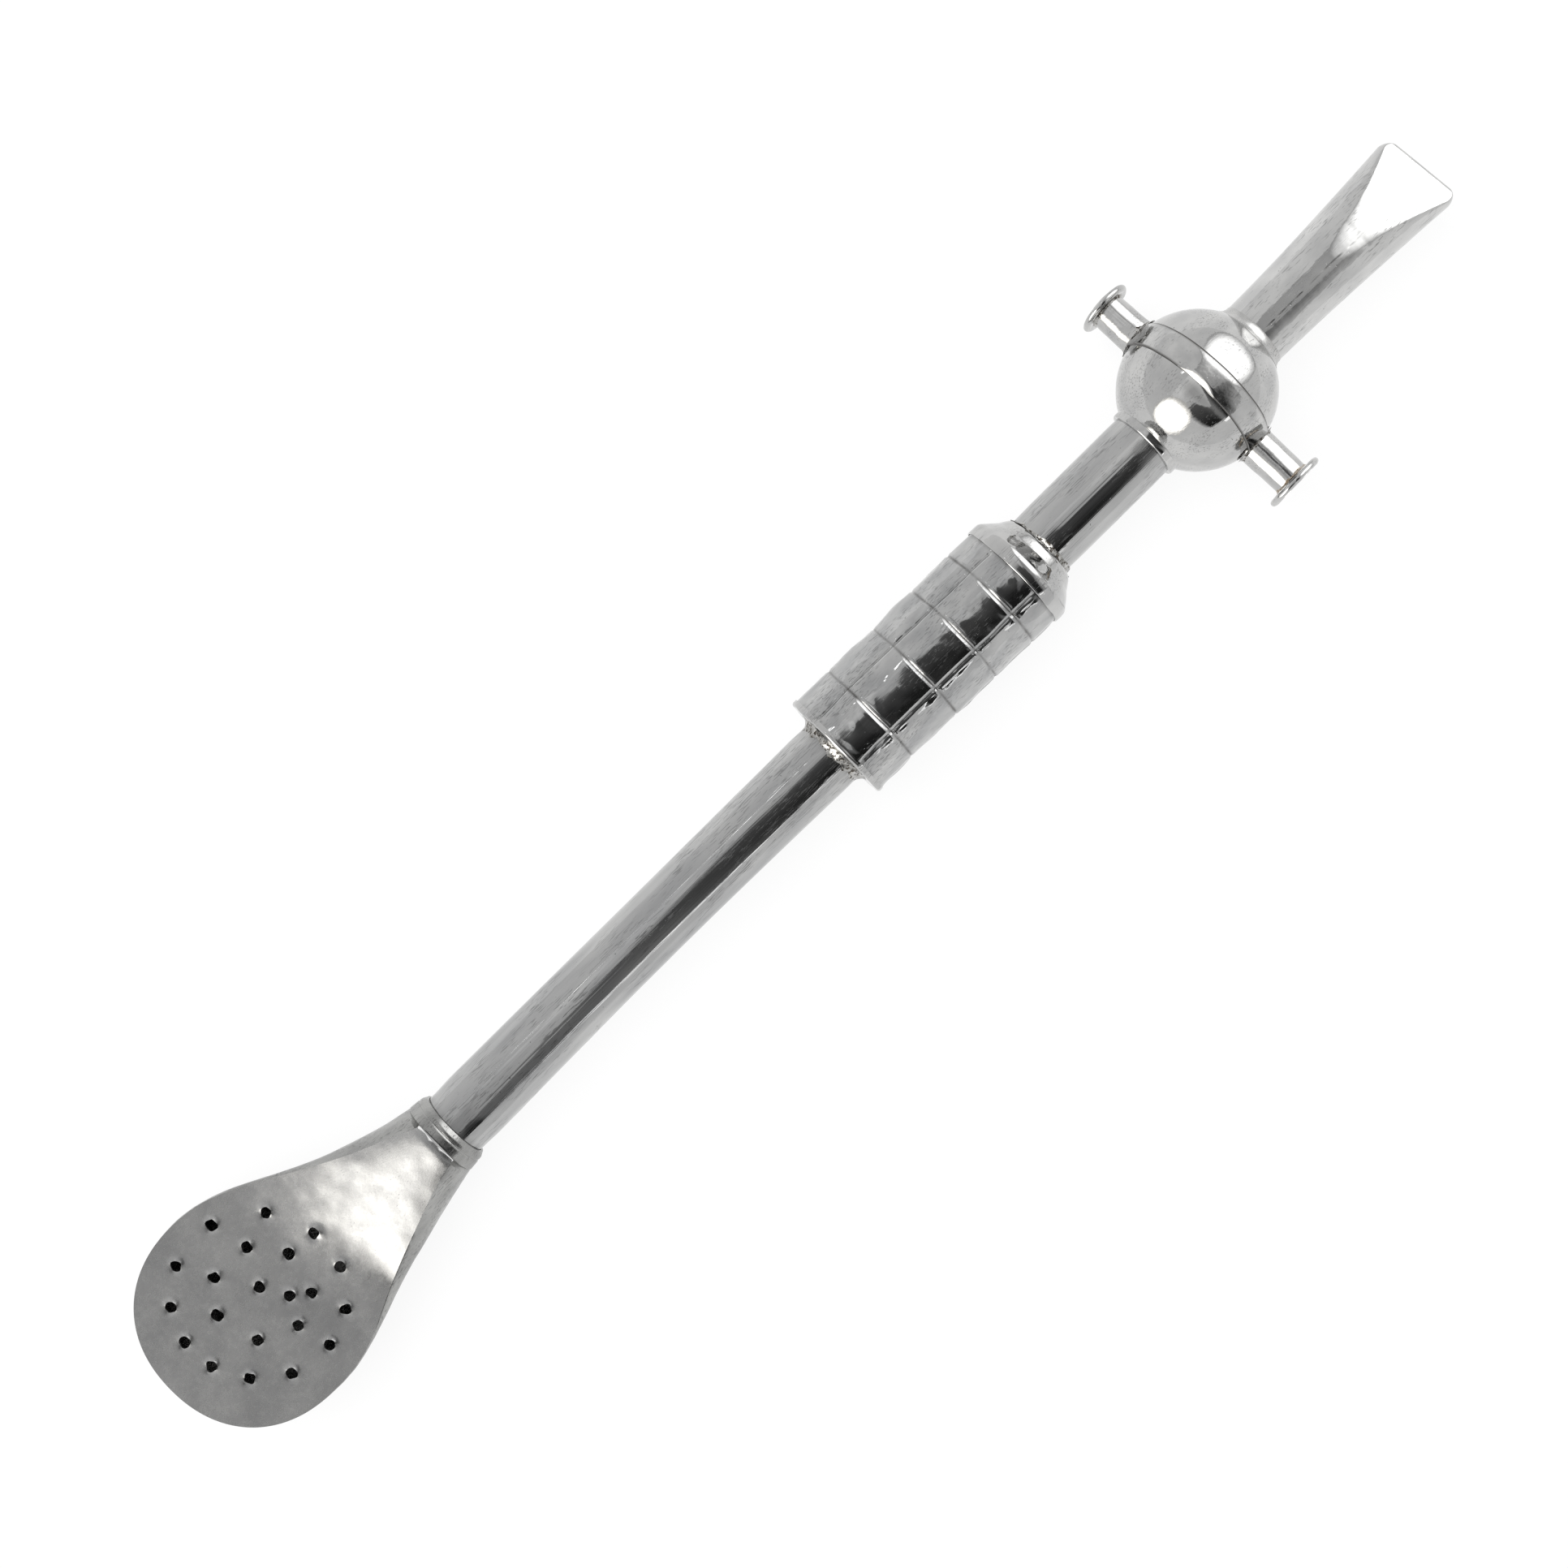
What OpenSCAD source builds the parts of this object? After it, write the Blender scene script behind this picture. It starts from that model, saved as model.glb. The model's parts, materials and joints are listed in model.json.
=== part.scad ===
// Bombilla: a metal straw for mate, whose perforated filter head pulls off the end of its stem.
// It lies on its back along X, mouthpiece towards +X and filter plate up. The origin is on the
// surface it lies on, under the middle of its length.

/* [Stem] */
// Outside diameter of the stem
stem_d = 8; // [7:0.1:8.4]
// Wall of the stem
stem_wall = 0.6; // [0.4:0.05:0.8]
// Length of stem that shows between the filter's neck and the barrel
lower_stem_len = 59.3; // [40:0.1:90]
// Length of stem that shows between the barrel and the ball
upper_stem_len = 16.7; // [8:0.1:30]

/* [Barrel] */
// Diameter of the engraved sleeve
barrel_d = 13.45; // [12:0.05:16]
// Height of the barrel, from its base to the top of its shoulder
barrel_len = 31.8; // [26:0.1:42]
// Wall of the barrel's sheet
barrel_wall = 0.5; // [0.4:0.05:0.8]
// How far the rims of the base and the shoulder stand out past the sleeve
barrel_rim = 0.2; // [0.1:0.05:0.4]
// Height of the shoulder's cone
shoulder_cone = 2.9; // [2:0.1:4]
// Height of the shoulder's skirt over the sleeve
shoulder_skirt = 1.6; // [1:0.1:3]
// Width of the flat ring at the top of the shoulder
shoulder_land = 0.45; // [0.2:0.05:0.8]
// Thickness of the base washer
base_t = 0.7; // [0.5:0.05:1.2]
// Number of long grooves round the sleeve
long_grooves = 6; // [4:1:10]
// Depth of the engraved grooves
groove_depth = 0.15; // [0.05:0.05:0.3]
// Width of the engraved grooves
groove_w = 0.45; // [0.2:0.05:0.8]

/* [Ball] */
// Diameter of the ball
ball_d = 18; // [15:0.1:20]
// Wall of the ball's two halves
ball_wall = 0.7; // [0.4:0.05:1]
// Width of the belt over the ball's seam
belt_w = 3.3; // [2:0.1:5]
// How far the belt stands out past the ball
belt_proud = 0.15; // [0.1:0.05:0.4]
// How far the collar stands out round the stem
collar_proud = 0.5; // [0.3:0.05:0.8]
// Height of the collar on the stem
collar_h = 0.6; // [0.4:0.1:1.5]
// How far the stem and the mouthpiece reach into the ball
tube_entry = 1.6; // [1:0.1:3]

/* [Arms] */
// Distance from the straw's axis to the outer face of the left arm
arm_reach_left = 14.4; // [12.5:0.1:20]
// Distance from the straw's axis to the outer face of the right arm
arm_reach_right = 15.25; // [12.5:0.05:20]
// Diameter of the arm tubes
arm_d = 4.3; // [3.5:0.1:5.5]
// Wall of the arm tubes
arm_wall = 0.5; // [0.3:0.05:0.8]
// Diameter of the left end plate
flange_left_d = 6.6; // [5.8:0.1:9]
// Diameter of the right end plate
flange_right_d = 7.2; // [5.8:0.1:9]
// Thickness of the end plates
flange_t = 0.8; // [0.5:0.05:1.5]
// How far the left arm dips below the plane of the filter plate, in degrees
arm_dip_left = 10; // [0:1:20]
// How far the right arm rises over that plane, in degrees
arm_rise_right = 4; // [0:1:20]

/* [Mouthpiece] */
// Length of the mouthpiece beyond the ball
mouth_len = 26.9; // [20:0.1:40]
// Diameter of the mouthpiece where it leaves the ball
mouth_d = 8.1; // [7:0.1:9]
// Wall of the mouthpiece
mouth_wall = 0.6; // [0.4:0.05:0.8]
// Width of the flattened tip
tip_w = 10.2; // [8.5:0.05:12]
// Thickness of the flattened tip
tip_h = 3.8; // [3:0.1:5]
// Length of the flat facets that thin the tip
facet_len = 14.3; // [10:0.1:18]
// Radius of the tip's two corners
tip_corner = 1.4; // [0.6:0.1:2]
// How much further the tip's right corner reaches than its middle
tip_slant = 0.4; // [0:0.1:1]

/* [Filter head] */
// Length of the filter head, from the bowl's end to the mouth of its neck
head_len = 43; // [38:0.1:55]
// Width of the bowl
bowl_w = 25.8; // [22:0.1:32]
// Distance from the bowl's end to its widest place
bowl_nose = 12.8; // [10:0.1:15]
// Depth of the bowl's back below the straw's axis
bowl_depth = 9.15; // [6:0.05:11]
// Wall of the bowl and neck
back_wall = 0.4; // [0.3:0.05:0.6]
// Sideways shift of the bowl off the straw's axis
bowl_shift = 1.25; // [0:0.05:2.5]
// Length of stem held in the neck
socket_grip = 5.2; // [4.5:0.1:10]
// Radial clearance of the stem in the neck
fit_clearance = 0.05; // [0.02:0.01:0.1]
// Wall of the sleeve inside the neck
sleeve_wall = 0.25; // [0.2:0.05:0.4]
// Thickness of the lip that the stem's end seats on
lip_t = 0.4; // [0.3:0.05:0.8]
// Width of the bead round the neck's mouth
ring_w = 2.3; // [0.8:0.1:2.4]
// How far the bead stands out past the neck
ring_proud = 0.05; // [0.02:0.01:0.3]

/* [Filter plate] */
// Thickness of the plate
plate_t = 0.5; // [0.3:0.05:0.8]
// Height of the plate's underside over the straw's axis, at the bowl
plate_rise = 0.6; // [0.3:0.1:2]
// Distance from the mouth of the neck to the end of the plate's tongue
tongue_gap = 2.6; // [2.5:0.1:5]
// How far the tongue's end lies inside the neck's side
tongue_inset = 2.1; // [1:0.1:2.4]
// Diameter of the punched holes
hole_d = 1.15; // [0.8:0.05:1.5]
// Radius of the outer ring of holes
outer_ring_r = 9.5; // [7.5:0.1:10]
// Radius of the inner ring of holes
inner_ring_r = 5.4; // [4:0.1:6.5]

/* [Hidden] */
$fn = 180;

// Gap that solder fills between two seated pieces
solder_gap = 0.05;
// Overshoot of a cutting solid
cut = 1;

// Radii
stem_r = stem_d / 2;
stem_bore_r = stem_r - stem_wall;
barrel_r = barrel_d / 2;
ball_r = ball_d / 2;
belt_r = ball_r + belt_proud;
arm_r = arm_d / 2;
mouth_r = mouth_d / 2;
bowl_r = bowl_w / 2;
sleeve_r_in = stem_r + fit_clearance;
sleeve_r_out = sleeve_r_in + sleeve_wall;
neck_r_in = sleeve_r_out + solder_gap;
neck_r = neck_r_in + back_wall;

// Stations along the straw, measured from the bowl's end
neck_end = head_len - ring_w;
tongue_end = head_len - tongue_gap;
socket_start = head_len - socket_grip - solder_gap - lip_t;
stem_start = head_len - socket_grip;
barrel_start = head_len + lower_stem_len;
barrel_end = barrel_start + barrel_len;
ball_foot = barrel_end + upper_stem_len;
ball_centre = ball_foot + sqrt(pow(ball_r, 2) - pow(stem_r, 2));
mouth_foot = ball_centre + sqrt(pow(ball_r, 2) - pow(mouth_r, 2));
stem_end = ball_foot + tube_entry;
mouth_start = mouth_foot - tube_entry;
total_len = mouth_foot + mouth_len;

// Height of the straw's axis over the surface it lies on
axis_h = max(belt_r, bowl_depth);

// Share of the collar's projection that is rounded
collar_round = 0.8;

// Barrel: heights over its base
skirt_start = barrel_len - shoulder_cone - shoulder_skirt;
sleeve_top = barrel_len - shoulder_cone;
// Places of the hand-cut ring grooves, as shares of the sleeve's bare height
ring_shares = [0.18, 0.435, 0.66, 0.87];
// How far the long grooves are turned towards the left arm, in degrees
line_turn = 3.5;

// Radius of the solder fillet between the mouthpiece and the ball
mouth_fillet_r = 2.5;
// Other solder: height along the tube and spread across the other piece
arm_foot = [0.45, 0.5];
flange_fillet = [0.45, 0.45];
barrel_top_fillet = [0.5, 0.4];
barrel_bottom_fillet = [0.8, 0.9];
fillet_steps = 6;
// Steps of a half-round bead
bead_steps = 12;

// Moves a piece that is turned about its own Z to a station on the straw's axis, Z towards the mouthpiece
module on_axis(station) {
    translate([station - total_len / 2, 0, axis_h])
        rotate([0, 90, 0])
            children();
}

// Moves a piece that is turned about its own Z to an arm, Z outwards from the ball's middle
// side is 1 for the left arm and -1 for the right one
module on_arm(side) {
    turn = side > 0 ? arm_dip_left : arm_rise_right;
    translate([ball_centre - total_len / 2, 0, axis_h])
        rotate([-turn - 90 * side, 0, 0])
            children();
}

// Distance from the straw's axis to the seat of an arm's end plate
function flange_seat(side) = (side > 0 ? arm_reach_left : arm_reach_right) - flange_t;

// Tube round Z
module tube(r_out, r_in, from, to) {
    difference() {
        translate([0, 0, from])
            cylinder(r = r_out, h = to - from);
        translate([0, 0, from - cut])
            cylinder(r = r_in, h = to - from + 2 * cut);
    }
}

// Concave ring of solder round a tube of radius r, which stands on the flat z = 0
module fillet_ring(r, size) {
    sweep = [for (i = [0:fillet_steps])
        let (a = 90 * i / fillet_steps)
        [r + size[1] * (1 - sin(a)), size[0] * (1 - cos(a))]];
    rotate_extrude()
        polygon(concat([[r, 0]], sweep));
}

// Concave ring of solder of radius rho between the ball, about the origin, and a tube of radius r along Z
// It dips a little into the ball, which cuts it off
module ball_fillet(r, rho) {
    middle_r = r + rho;
    middle_z = sqrt(pow(ball_r - solder_gap + rho, 2) - pow(middle_r, 2));
    lean_in = atan2(middle_r, middle_z);
    sweep = [for (i = [0:fillet_steps])
        let (a = mix(90, lean_in, i / fillet_steps))
        [middle_r - rho * sin(a), middle_z - rho * cos(a)]];
    rotate_extrude()
        polygon(concat([[r, 0]], sweep));
}

// Conical foot of solder round a tube of radius r along Z, to be cut by the ball about the origin
module solder_foot(r, size) {
    outer_r = r + size[1];
    rotate_extrude()
        polygon([
            [r, 0],
            [outer_r, 0],
            [outer_r, sqrt(pow(ball_r, 2) - pow(outer_r, 2)) + solder_gap],
            [r, belt_r + size[0]]
        ]);
}

// Ring about Z whose outside is a half-round bead, from z = 0 to z = w
module bead_ring(r_in, r_out, w, bulge) {
    round_side = [for (i = [0:bead_steps])
        let (a = mix(-90, 90, i / bead_steps))
        [r_out - bulge + bulge * cos(a), w / 2 + w / 2 * sin(a)]];
    rotate_extrude()
        polygon(concat([[r_in, 0]], round_side, [[r_in, w]]));
}

// Ball and belt as one filled form about Z, to cope the arms and their solder
module ball_form() {
    sphere(r = ball_r);
    belt_form();
}

// Belt with its inside filled
module belt_form() {
    half_w = belt_w / 2;
    crown_w = 0.6 * half_w;
    crown_r = mix(ball_r, belt_r, 0.75);
    rotate_extrude()
        polygon([
            [0, -half_w],
            [ball_r, -half_w],
            [crown_r, -crown_w],
            [belt_r, 0],
            [crown_r, crown_w],
            [ball_r, half_w],
            [0, half_w]
        ]);
}

// Half of the ball's shell about Z. side is 1 above the seam and -1 below it
module half_shell(side, hole_r) {
    box_w = 2 * ball_d;
    difference() {
        sphere(r = ball_r);
        sphere(r = ball_r - ball_wall);
        translate([-box_w / 2, -box_w / 2, side > 0 ? -box_w : 0])
            cube(box_w);
        cylinder(r = hole_r, h = 2 * ball_d, center = true);
    }
}

// Soft step from 0 to 1
function ramp(x) = let (c = min(max(x, 0), 1)) c * c * (3 - 2 * c);
function mix(a, b, share) = a + (b - a) * share;

// Mouthpiece: half width and half height of its outside at v along it
mouth_total = mouth_len + tube_entry;
facet_start = mouth_total - facet_len;
// How late the tube spreads on its way to the tip
spread_power = 1.6;
function mouth_share(v) = min(max(v - tube_entry, 0) / (mouth_len - tip_corner), 1);
function facet_share(v) = max(v - facet_start, 0) / facet_len;
function mouth_half_w(v) = mix(mouth_r, tip_w / 2, pow(mouth_share(v), spread_power));
function mouth_half_h(v) = mix(mouth_r, tip_h / 2, facet_share(v));
// How far the slanting tip moves a point at v and y along the mouthpiece
function slant(v, y) = -tip_slant * pow(facet_share(v), 2) * y / (tip_w / 2);
// How much the rounded corners take off each side at v
function corner_cut(v) = tip_corner - sqrt(pow(tip_corner, 2) - pow(max(v - mouth_total + tip_corner, 0), 2));
mouth_sides = 40;
mouth_steps = 11;
corner_angles = [25, 50, 70, 82, 90];
mouth_rings = concat(
    [for (i = [0:mouth_steps]) (mouth_total - tip_corner) * i / mouth_steps],
    [for (a = corner_angles) mouth_total - tip_corner + tip_corner * sin(a)]
);
// A ring is an ellipse that the two facets cut off above and below
function mouth_ring(v, wall) = [for (i = [0:mouth_sides - 1])
    let (
        a = 360 * i / mouth_sides,
        y = (mouth_half_w(v) - corner_cut(v) - wall) * cos(a),
        z = (mouth_r - wall) * sin(a),
        top = mouth_half_h(v) - wall
    )
    [v + slant(v, y), y, min(max(z, -top), top)]];

// Faces of a hollow closed form made of rings: outer rings first, then as many inner rings
function tube_faces(rings, sides) = let (
        last = rings - 1,
        inner = rings * sides
    ) concat(
    [for (r = [0:last - 1], i = [0:sides - 1])
        let (j = (i + 1) % sides)
        [r * sides + i, r * sides + j, (r + 1) * sides + j, (r + 1) * sides + i]],
    [for (r = [0:last - 1], i = [0:sides - 1])
        let (j = (i + 1) % sides)
        [inner + r * sides + i, inner + (r + 1) * sides + i, inner + (r + 1) * sides + j, inner + r * sides + j]],
    [for (i = [0:sides - 1])
        let (j = (i + 1) % sides)
        [i, inner + i, inner + j, j]],
    [for (i = [0:sides - 1])
        let (j = (i + 1) % sides)
        [last * sides + i, last * sides + j, inner + last * sides + j, inner + last * sides + i]]
);

// Bowl outline: a full round end, then a flank that draws in to the neck
round_power = 2.2;
flank_handles = [0.304, 0.646];
neck_flare = 11.5;
flank_len = neck_end - bowl_nose;
flank_from = [bowl_nose, bowl_r];
flank_to = [neck_end, neck_r];
flank_a = flank_from + [flank_len * flank_handles[0], 0];
flank_b = flank_to + flank_len * flank_handles[1] * [-1, tan(neck_flare)];
function curve_at(k) = pow(1 - k, 3) * flank_from + 3 * pow(1 - k, 2) * k * flank_a
    + 3 * (1 - k) * k * k * flank_b + pow(k, 3) * flank_to;
// Half width of the flank at a station, found by halving
function flank_half_w(u, low = 0, high = 1, turns = 24) = let (
        mid = (low + high) / 2,
        p = curve_at(mid)
    ) turns == 0 ? p[1]
    : p[0] < u ? flank_half_w(u, mid, high, turns - 1) : flank_half_w(u, low, mid, turns - 1);
// The plate bends up from the bowl's level, then climbs straight to its tongue, just clear of the neck's sleeve
flat_past_widest = 8.2;
bend_len = 4;
sleeve_gap = 0.4;
bend_start = bowl_nose + flat_past_widest;
bend_end = socket_start - sleeve_gap;
tongue_z = sleeve_r_out + solder_gap;
// Drop from the plate to the widest line of the bowl, and how far the plate's edge lies inside that line
rim_edge = 0.6;
edge_inset = 0.1;
// How late the plate's edge draws in towards the tongue
draw_in_power = 1.8;
function bend(u) = ramp((u - bend_start) / (bend_end - bend_start));
function climb(u) = let (d = max(u - bend_start, 0)) d < bend_len ? pow(d, 2) / (2 * bend_len) : d - bend_len / 2;
function plate_z(u) = mix(plate_rise, tongue_z, climb(u) / climb(bend_end));
// Height of the widest line of the back
function widest_z(u) = mix(plate_rise - rim_edge, 0, bend(u));
// How far the rim lies inside the widest line
function rim_inset(u) = edge_inset
    + (tongue_inset - edge_inset)
    * pow(min(max((u - bend_start) / (tongue_end - bend_start), 0), 1), draw_in_power);
// Height of the rim: under the plate, then down to the round of the neck
neck_rim_z = sqrt(pow(neck_r, 2) - pow(neck_r - tongue_inset, 2));
function rim_z(u) = u <= tongue_end ? plate_z(u)
    : mix(plate_z(tongue_end), neck_rim_z, (u - tongue_end) / (neck_end - tongue_end));
// Sideways shift of the head: none at the neck, all of it from the bowl's widest place on
function lean(u) = bowl_shift * (1 - ramp((u - bowl_nose) / (bend_end - bowl_nose)));
// Depth of the back below its widest line, from the bowl to the neck
back_drop = bowl_depth + widest_z(0);
function flank_depth(u) = mix(back_drop, neck_r, ramp((u - bowl_nose) / flank_len));

// Stations of the back: station, half width and depth, for the outside (wall 0) or the inside
end_steps = 9;
first_angle = 6;
flank_steps = 15;
function end_station(a, wall) = let (share = pow(sin(a), 2 / round_power)) [
    wall + (bowl_nose - wall) * (1 - pow(cos(a), 2 / round_power)),
    (bowl_r - wall) * share,
    (back_drop - wall) * share
];
flank_stations = concat(
    [for (i = [0:flank_steps]) mix(bowl_nose, tongue_end, i / flank_steps)],
    [mix(tongue_end, neck_end, 0.5), neck_end]
);
function back_stations(wall) = concat(
    [for (i = [0:end_steps - 1]) end_station(mix(first_angle, 90, i / end_steps), wall)],
    [for (u = flank_stations) [u, flank_half_w(u) - wall, flank_depth(u) - wall]]
);
station_count = end_steps + len(flank_stations);

// One section of the back, from the left rim round the bottom to the right rim
side_steps = 3;
belly_steps = 16;
section_points = 2 * side_steps + belly_steps + 1;
function back_section(s) = let (
        u = s[0],
        w = s[1],
        rim_w = w - rim_inset(u),
        top = acos(rim_w / w),
        rise = (rim_z(u) - widest_z(u)) / sin(top),
        y0 = lean(u),
        z0 = widest_z(u)
    ) concat(
    [for (i = [0:side_steps - 1])
        let (a = top * (1 - i / side_steps))
        [u, y0 + w * cos(a), z0 + rise * sin(a)]],
    [for (i = [0:belly_steps])
        let (a = 180 * i / belly_steps)
        [u, y0 + w * cos(a), z0 - s[2] * sin(a)]],
    [for (i = [1:side_steps])
        let (a = top * i / side_steps)
        [u, y0 - w * cos(a), z0 + rise * sin(a)]]
);

// Faces of the open shell: outer sections first, then as many inner sections
function shell_faces(rows, cols) = let (
        inner = rows * cols,
        end = cols - 1,
        last = (rows - 1) * cols
    ) concat(
    [for (r = [0:rows - 2], i = [0:cols - 2])
        [r * cols + i, (r + 1) * cols + i, (r + 1) * cols + i + 1, r * cols + i + 1]],
    [for (r = [0:rows - 2], i = [0:cols - 2])
        [inner + r * cols + i, inner + r * cols + i + 1,
         inner + (r + 1) * cols + i + 1, inner + (r + 1) * cols + i]],
    [for (r = [0:rows - 2])
        [r * cols, inner + r * cols, inner + (r + 1) * cols, (r + 1) * cols]],
    [for (r = [0:rows - 2])
        [r * cols + end, (r + 1) * cols + end, inner + (r + 1) * cols + end, inner + r * cols + end]],
    [for (i = [0:cols - 2])
        [last + i, inner + last + i, inner + last + i + 1, last + i + 1]],
    [[0, end, inner + end, inner]],
    [[for (i = [0:end]) i]],
    [[for (i = [0:end]) inner + end - i]]
);

// Middle of the punched rings, past the bowl's widest place and to its left
punch_ahead = 1.4;
punch_aside = 0.5;
// How much the pattern drifts to the left for each millimetre towards the bowl's end
punch_drift = 0.065;
// Hand-punched holes: the places of each ring, in degrees from the mouthpiece's side
outer_places = [7, 42, 79, 116, 145, 171, 195, 221, 249, 281, 308, 338];
inner_places = [14, 64, 118, 165, 222, 274, 318];
// Two holes near the middle: place, and distance as a share of the inner ring's radius
middle_places = [[67, 0.14], [-49, 0.565]];
punched = concat(
    [for (a = outer_places) outer_ring_r * [cos(a), sin(a)]],
    [for (a = inner_places) inner_ring_r * [cos(a), sin(a)]],
    [for (m = middle_places) inner_ring_r * m[1] * [cos(m[0]), sin(m[0])]]
);

module mouthpiece() {
    color("silver")
        translate([mouth_start - total_len / 2, 0, axis_h])
            polyhedron(
                points = concat(
                    [for (v = mouth_rings) each mouth_ring(v, 0)],
                    [for (v = mouth_rings) each mouth_ring(v, mouth_wall)]
                ),
                faces = tube_faces(len(mouth_rings), mouth_sides)
            );
}

module mouthpiece_solder() {
    color("gainsboro")
        on_axis(ball_centre)
            difference() {
                ball_fillet(mouth_r + solder_gap, mouth_fillet_r);
                sphere(r = ball_r);
            }
}

module ball_upper_half() {
    color("silver")
        on_axis(ball_centre)
            half_shell(1, mouth_r + solder_gap);
}

module ball_lower_half() {
    color("silver")
        on_axis(ball_centre)
            half_shell(-1, stem_r);
}

module ball_belt() {
    color("lightgray")
        on_axis(ball_centre)
            difference() {
                belt_form();
                sphere(r = ball_r);
            }
}

module ball_collar() {
    color("lightgray")
        difference() {
            on_axis(ball_foot - collar_h)
                bead_ring(stem_r, stem_r + collar_proud, 2 * collar_h, collar_round * collar_proud);
            on_axis(ball_centre)
                sphere(r = ball_r);
        }
}

module arm_tube(side) {
    color("silver")
        difference() {
            on_arm(side)
                tube(arm_r, arm_r - arm_wall, ball_r - arm_d / 2, flange_seat(side));
            on_axis(ball_centre)
                ball_form();
        }
}

module arm_solder(side) {
    color("gainsboro")
        difference() {
            on_arm(side)
                solder_foot(arm_r, arm_foot);
            on_axis(ball_centre)
                ball_form();
        }
}

module arm_flange(side, d) {
    color("silver")
        on_arm(side)
            translate([0, 0, flange_seat(side)])
                bead_ring(0, d / 2, flange_t, flange_t / 2);
}

module flange_solder(side) {
    color("rosybrown")
        on_arm(side)
            translate([0, 0, flange_seat(side)])
                mirror([0, 0, 1])
                    fillet_ring(arm_r, flange_fillet);
}

module stem() {
    color("silver")
        on_axis(0)
            tube(stem_r, stem_bore_r, stem_start, stem_end);
}

module barrel_shell() {
    bare_h = skirt_start - base_t;
    tip_r = barrel_r - groove_depth;
    mouth = barrel_r + cut;
    spread = groove_w / 2 * (groove_depth + cut) / groove_depth;
    color("silver")
        on_axis(barrel_start)
            difference() {
                tube(barrel_r, barrel_r - barrel_wall, base_t, sleeve_top);
                for (share = ring_shares)
                    translate([0, 0, base_t + share * bare_h])
                        rotate_extrude()
                            polygon([[tip_r, 0], [mouth, -spread], [mouth, spread]]);
                for (i = [0:long_grooves - 1])
                    rotate([0, 0, 360 * (i + 0.5) / long_grooves - line_turn])
                        linear_extrude(height = sleeve_top)
                            polygon([[tip_r, 0], [mouth, -spread], [mouth, spread]]);
            }
}

module barrel_shoulder() {
    rim_r = barrel_r + barrel_rim;
    land_r = stem_r + shoulder_land;
    soft = 0.3;
    color("silver")
        on_axis(barrel_start)
            rotate_extrude()
                polygon([
                    [barrel_r, skirt_start],
                    [rim_r, skirt_start],
                    [rim_r, sleeve_top - soft],
                    [rim_r - soft, sleeve_top + soft],
                    [land_r + soft, barrel_len - soft],
                    [land_r, barrel_len],
                    [stem_r, barrel_len],
                    [stem_r, barrel_len - 2 * barrel_wall],
                    [barrel_r - barrel_wall, sleeve_top],
                    [barrel_r, sleeve_top]
                ]);
}

module barrel_base() {
    color("silver")
        on_axis(barrel_start)
            bead_ring(stem_r, barrel_r + barrel_rim, base_t, base_t / 2);
}

module barrel_solder_top() {
    color("gainsboro")
        on_axis(barrel_end)
            fillet_ring(stem_r, barrel_top_fillet);
}

module barrel_solder_bottom() {
    color("gainsboro")
        on_axis(barrel_start)
            mirror([0, 0, 1])
                fillet_ring(stem_r, barrel_bottom_fillet);
}

module neck_ring() {
    thickness = neck_r + ring_proud - sleeve_r_out;
    round_end = [for (i = [0:bead_steps])
        let (a = 90 * i / bead_steps)
        [sleeve_r_out + thickness * cos(a), ring_w * sin(a)]];
    color("lightgray")
        on_axis(neck_end)
            rotate_extrude()
                polygon(concat([[sleeve_r_out, 0]], round_end));
}

module neck_sleeve() {
    color("darkgray")
        on_axis(0)
            rotate_extrude()
                polygon([
                    [stem_bore_r, socket_start],
                    [sleeve_r_out, socket_start],
                    [sleeve_r_out, head_len],
                    [sleeve_r_in, head_len],
                    [sleeve_r_in, socket_start + lip_t],
                    [stem_bore_r, socket_start + lip_t]
                ]);
}

module filter_back() {
    color("gray")
        translate([-total_len / 2, 0, axis_h])
            polyhedron(
                points = concat(
                    [for (s = back_stations(0)) each back_section(s)],
                    [for (s = back_stations(back_wall)) each back_section(s)]
                ),
                faces = shell_faces(station_count, section_points)
            );
}

module filter_plate() {
    outside = back_stations(0);
    kept = [for (i = [0:end_steps + flank_steps]) outside[i]];
    left_edge = [for (s = kept) [s[0], lean(s[0]) + s[1] - rim_inset(s[0])]];
    right_edge = [for (s = kept) [s[0], lean(s[0]) - s[1] + rim_inset(s[0])]];
    tip = [0, lean(0)];
    stations = [for (s = kept) s[0]];
    underside = concat([[0, plate_z(0)]], [for (u = stations) [u, plate_z(u)]]);
    upside = [for (p = underside) p + [0, plate_t]];
    color("darkgray")
        translate([-total_len / 2, 0, axis_h])
            difference() {
                intersection() {
                    rotate([90, 0, 0])
                        linear_extrude(height = 2 * bowl_w, center = true)
                            polygon(concat(underside, [for (i = [len(upside) - 1:-1:0]) upside[i]]));
                    linear_extrude(height = 4 * bowl_depth, center = true)
                        polygon(concat([tip], right_edge, [for (i = [len(left_edge) - 1:-1:0]) left_edge[i]]));
                }
                for (p = punched)
                    let (u = bowl_nose + punch_ahead + p[0])
                        translate([u, lean(u) + punch_aside + punch_drift * max(-p[0], 0) + p[1], 0])
                            cylinder(d = hole_d, h = 2 * bowl_depth);
            }
}

mouthpiece();
mouthpiece_solder();
ball_upper_half();
ball_lower_half();
ball_belt();
ball_collar();
arm_tube(1);  // arm_tube_left
arm_tube(-1);  // arm_tube_right
arm_solder(1);  // arm_solder_left
arm_solder(-1);  // arm_solder_right
arm_flange(1, flange_left_d);  // arm_flange_left
arm_flange(-1, flange_right_d);  // arm_flange_right
flange_solder(1);  // flange_solder_left
flange_solder(-1);  // flange_solder_right
stem();
barrel_shell();
barrel_shoulder();
barrel_base();
barrel_solder_top();
barrel_solder_bottom();
neck_ring();
neck_sleeve();
filter_back();
filter_plate();
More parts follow.
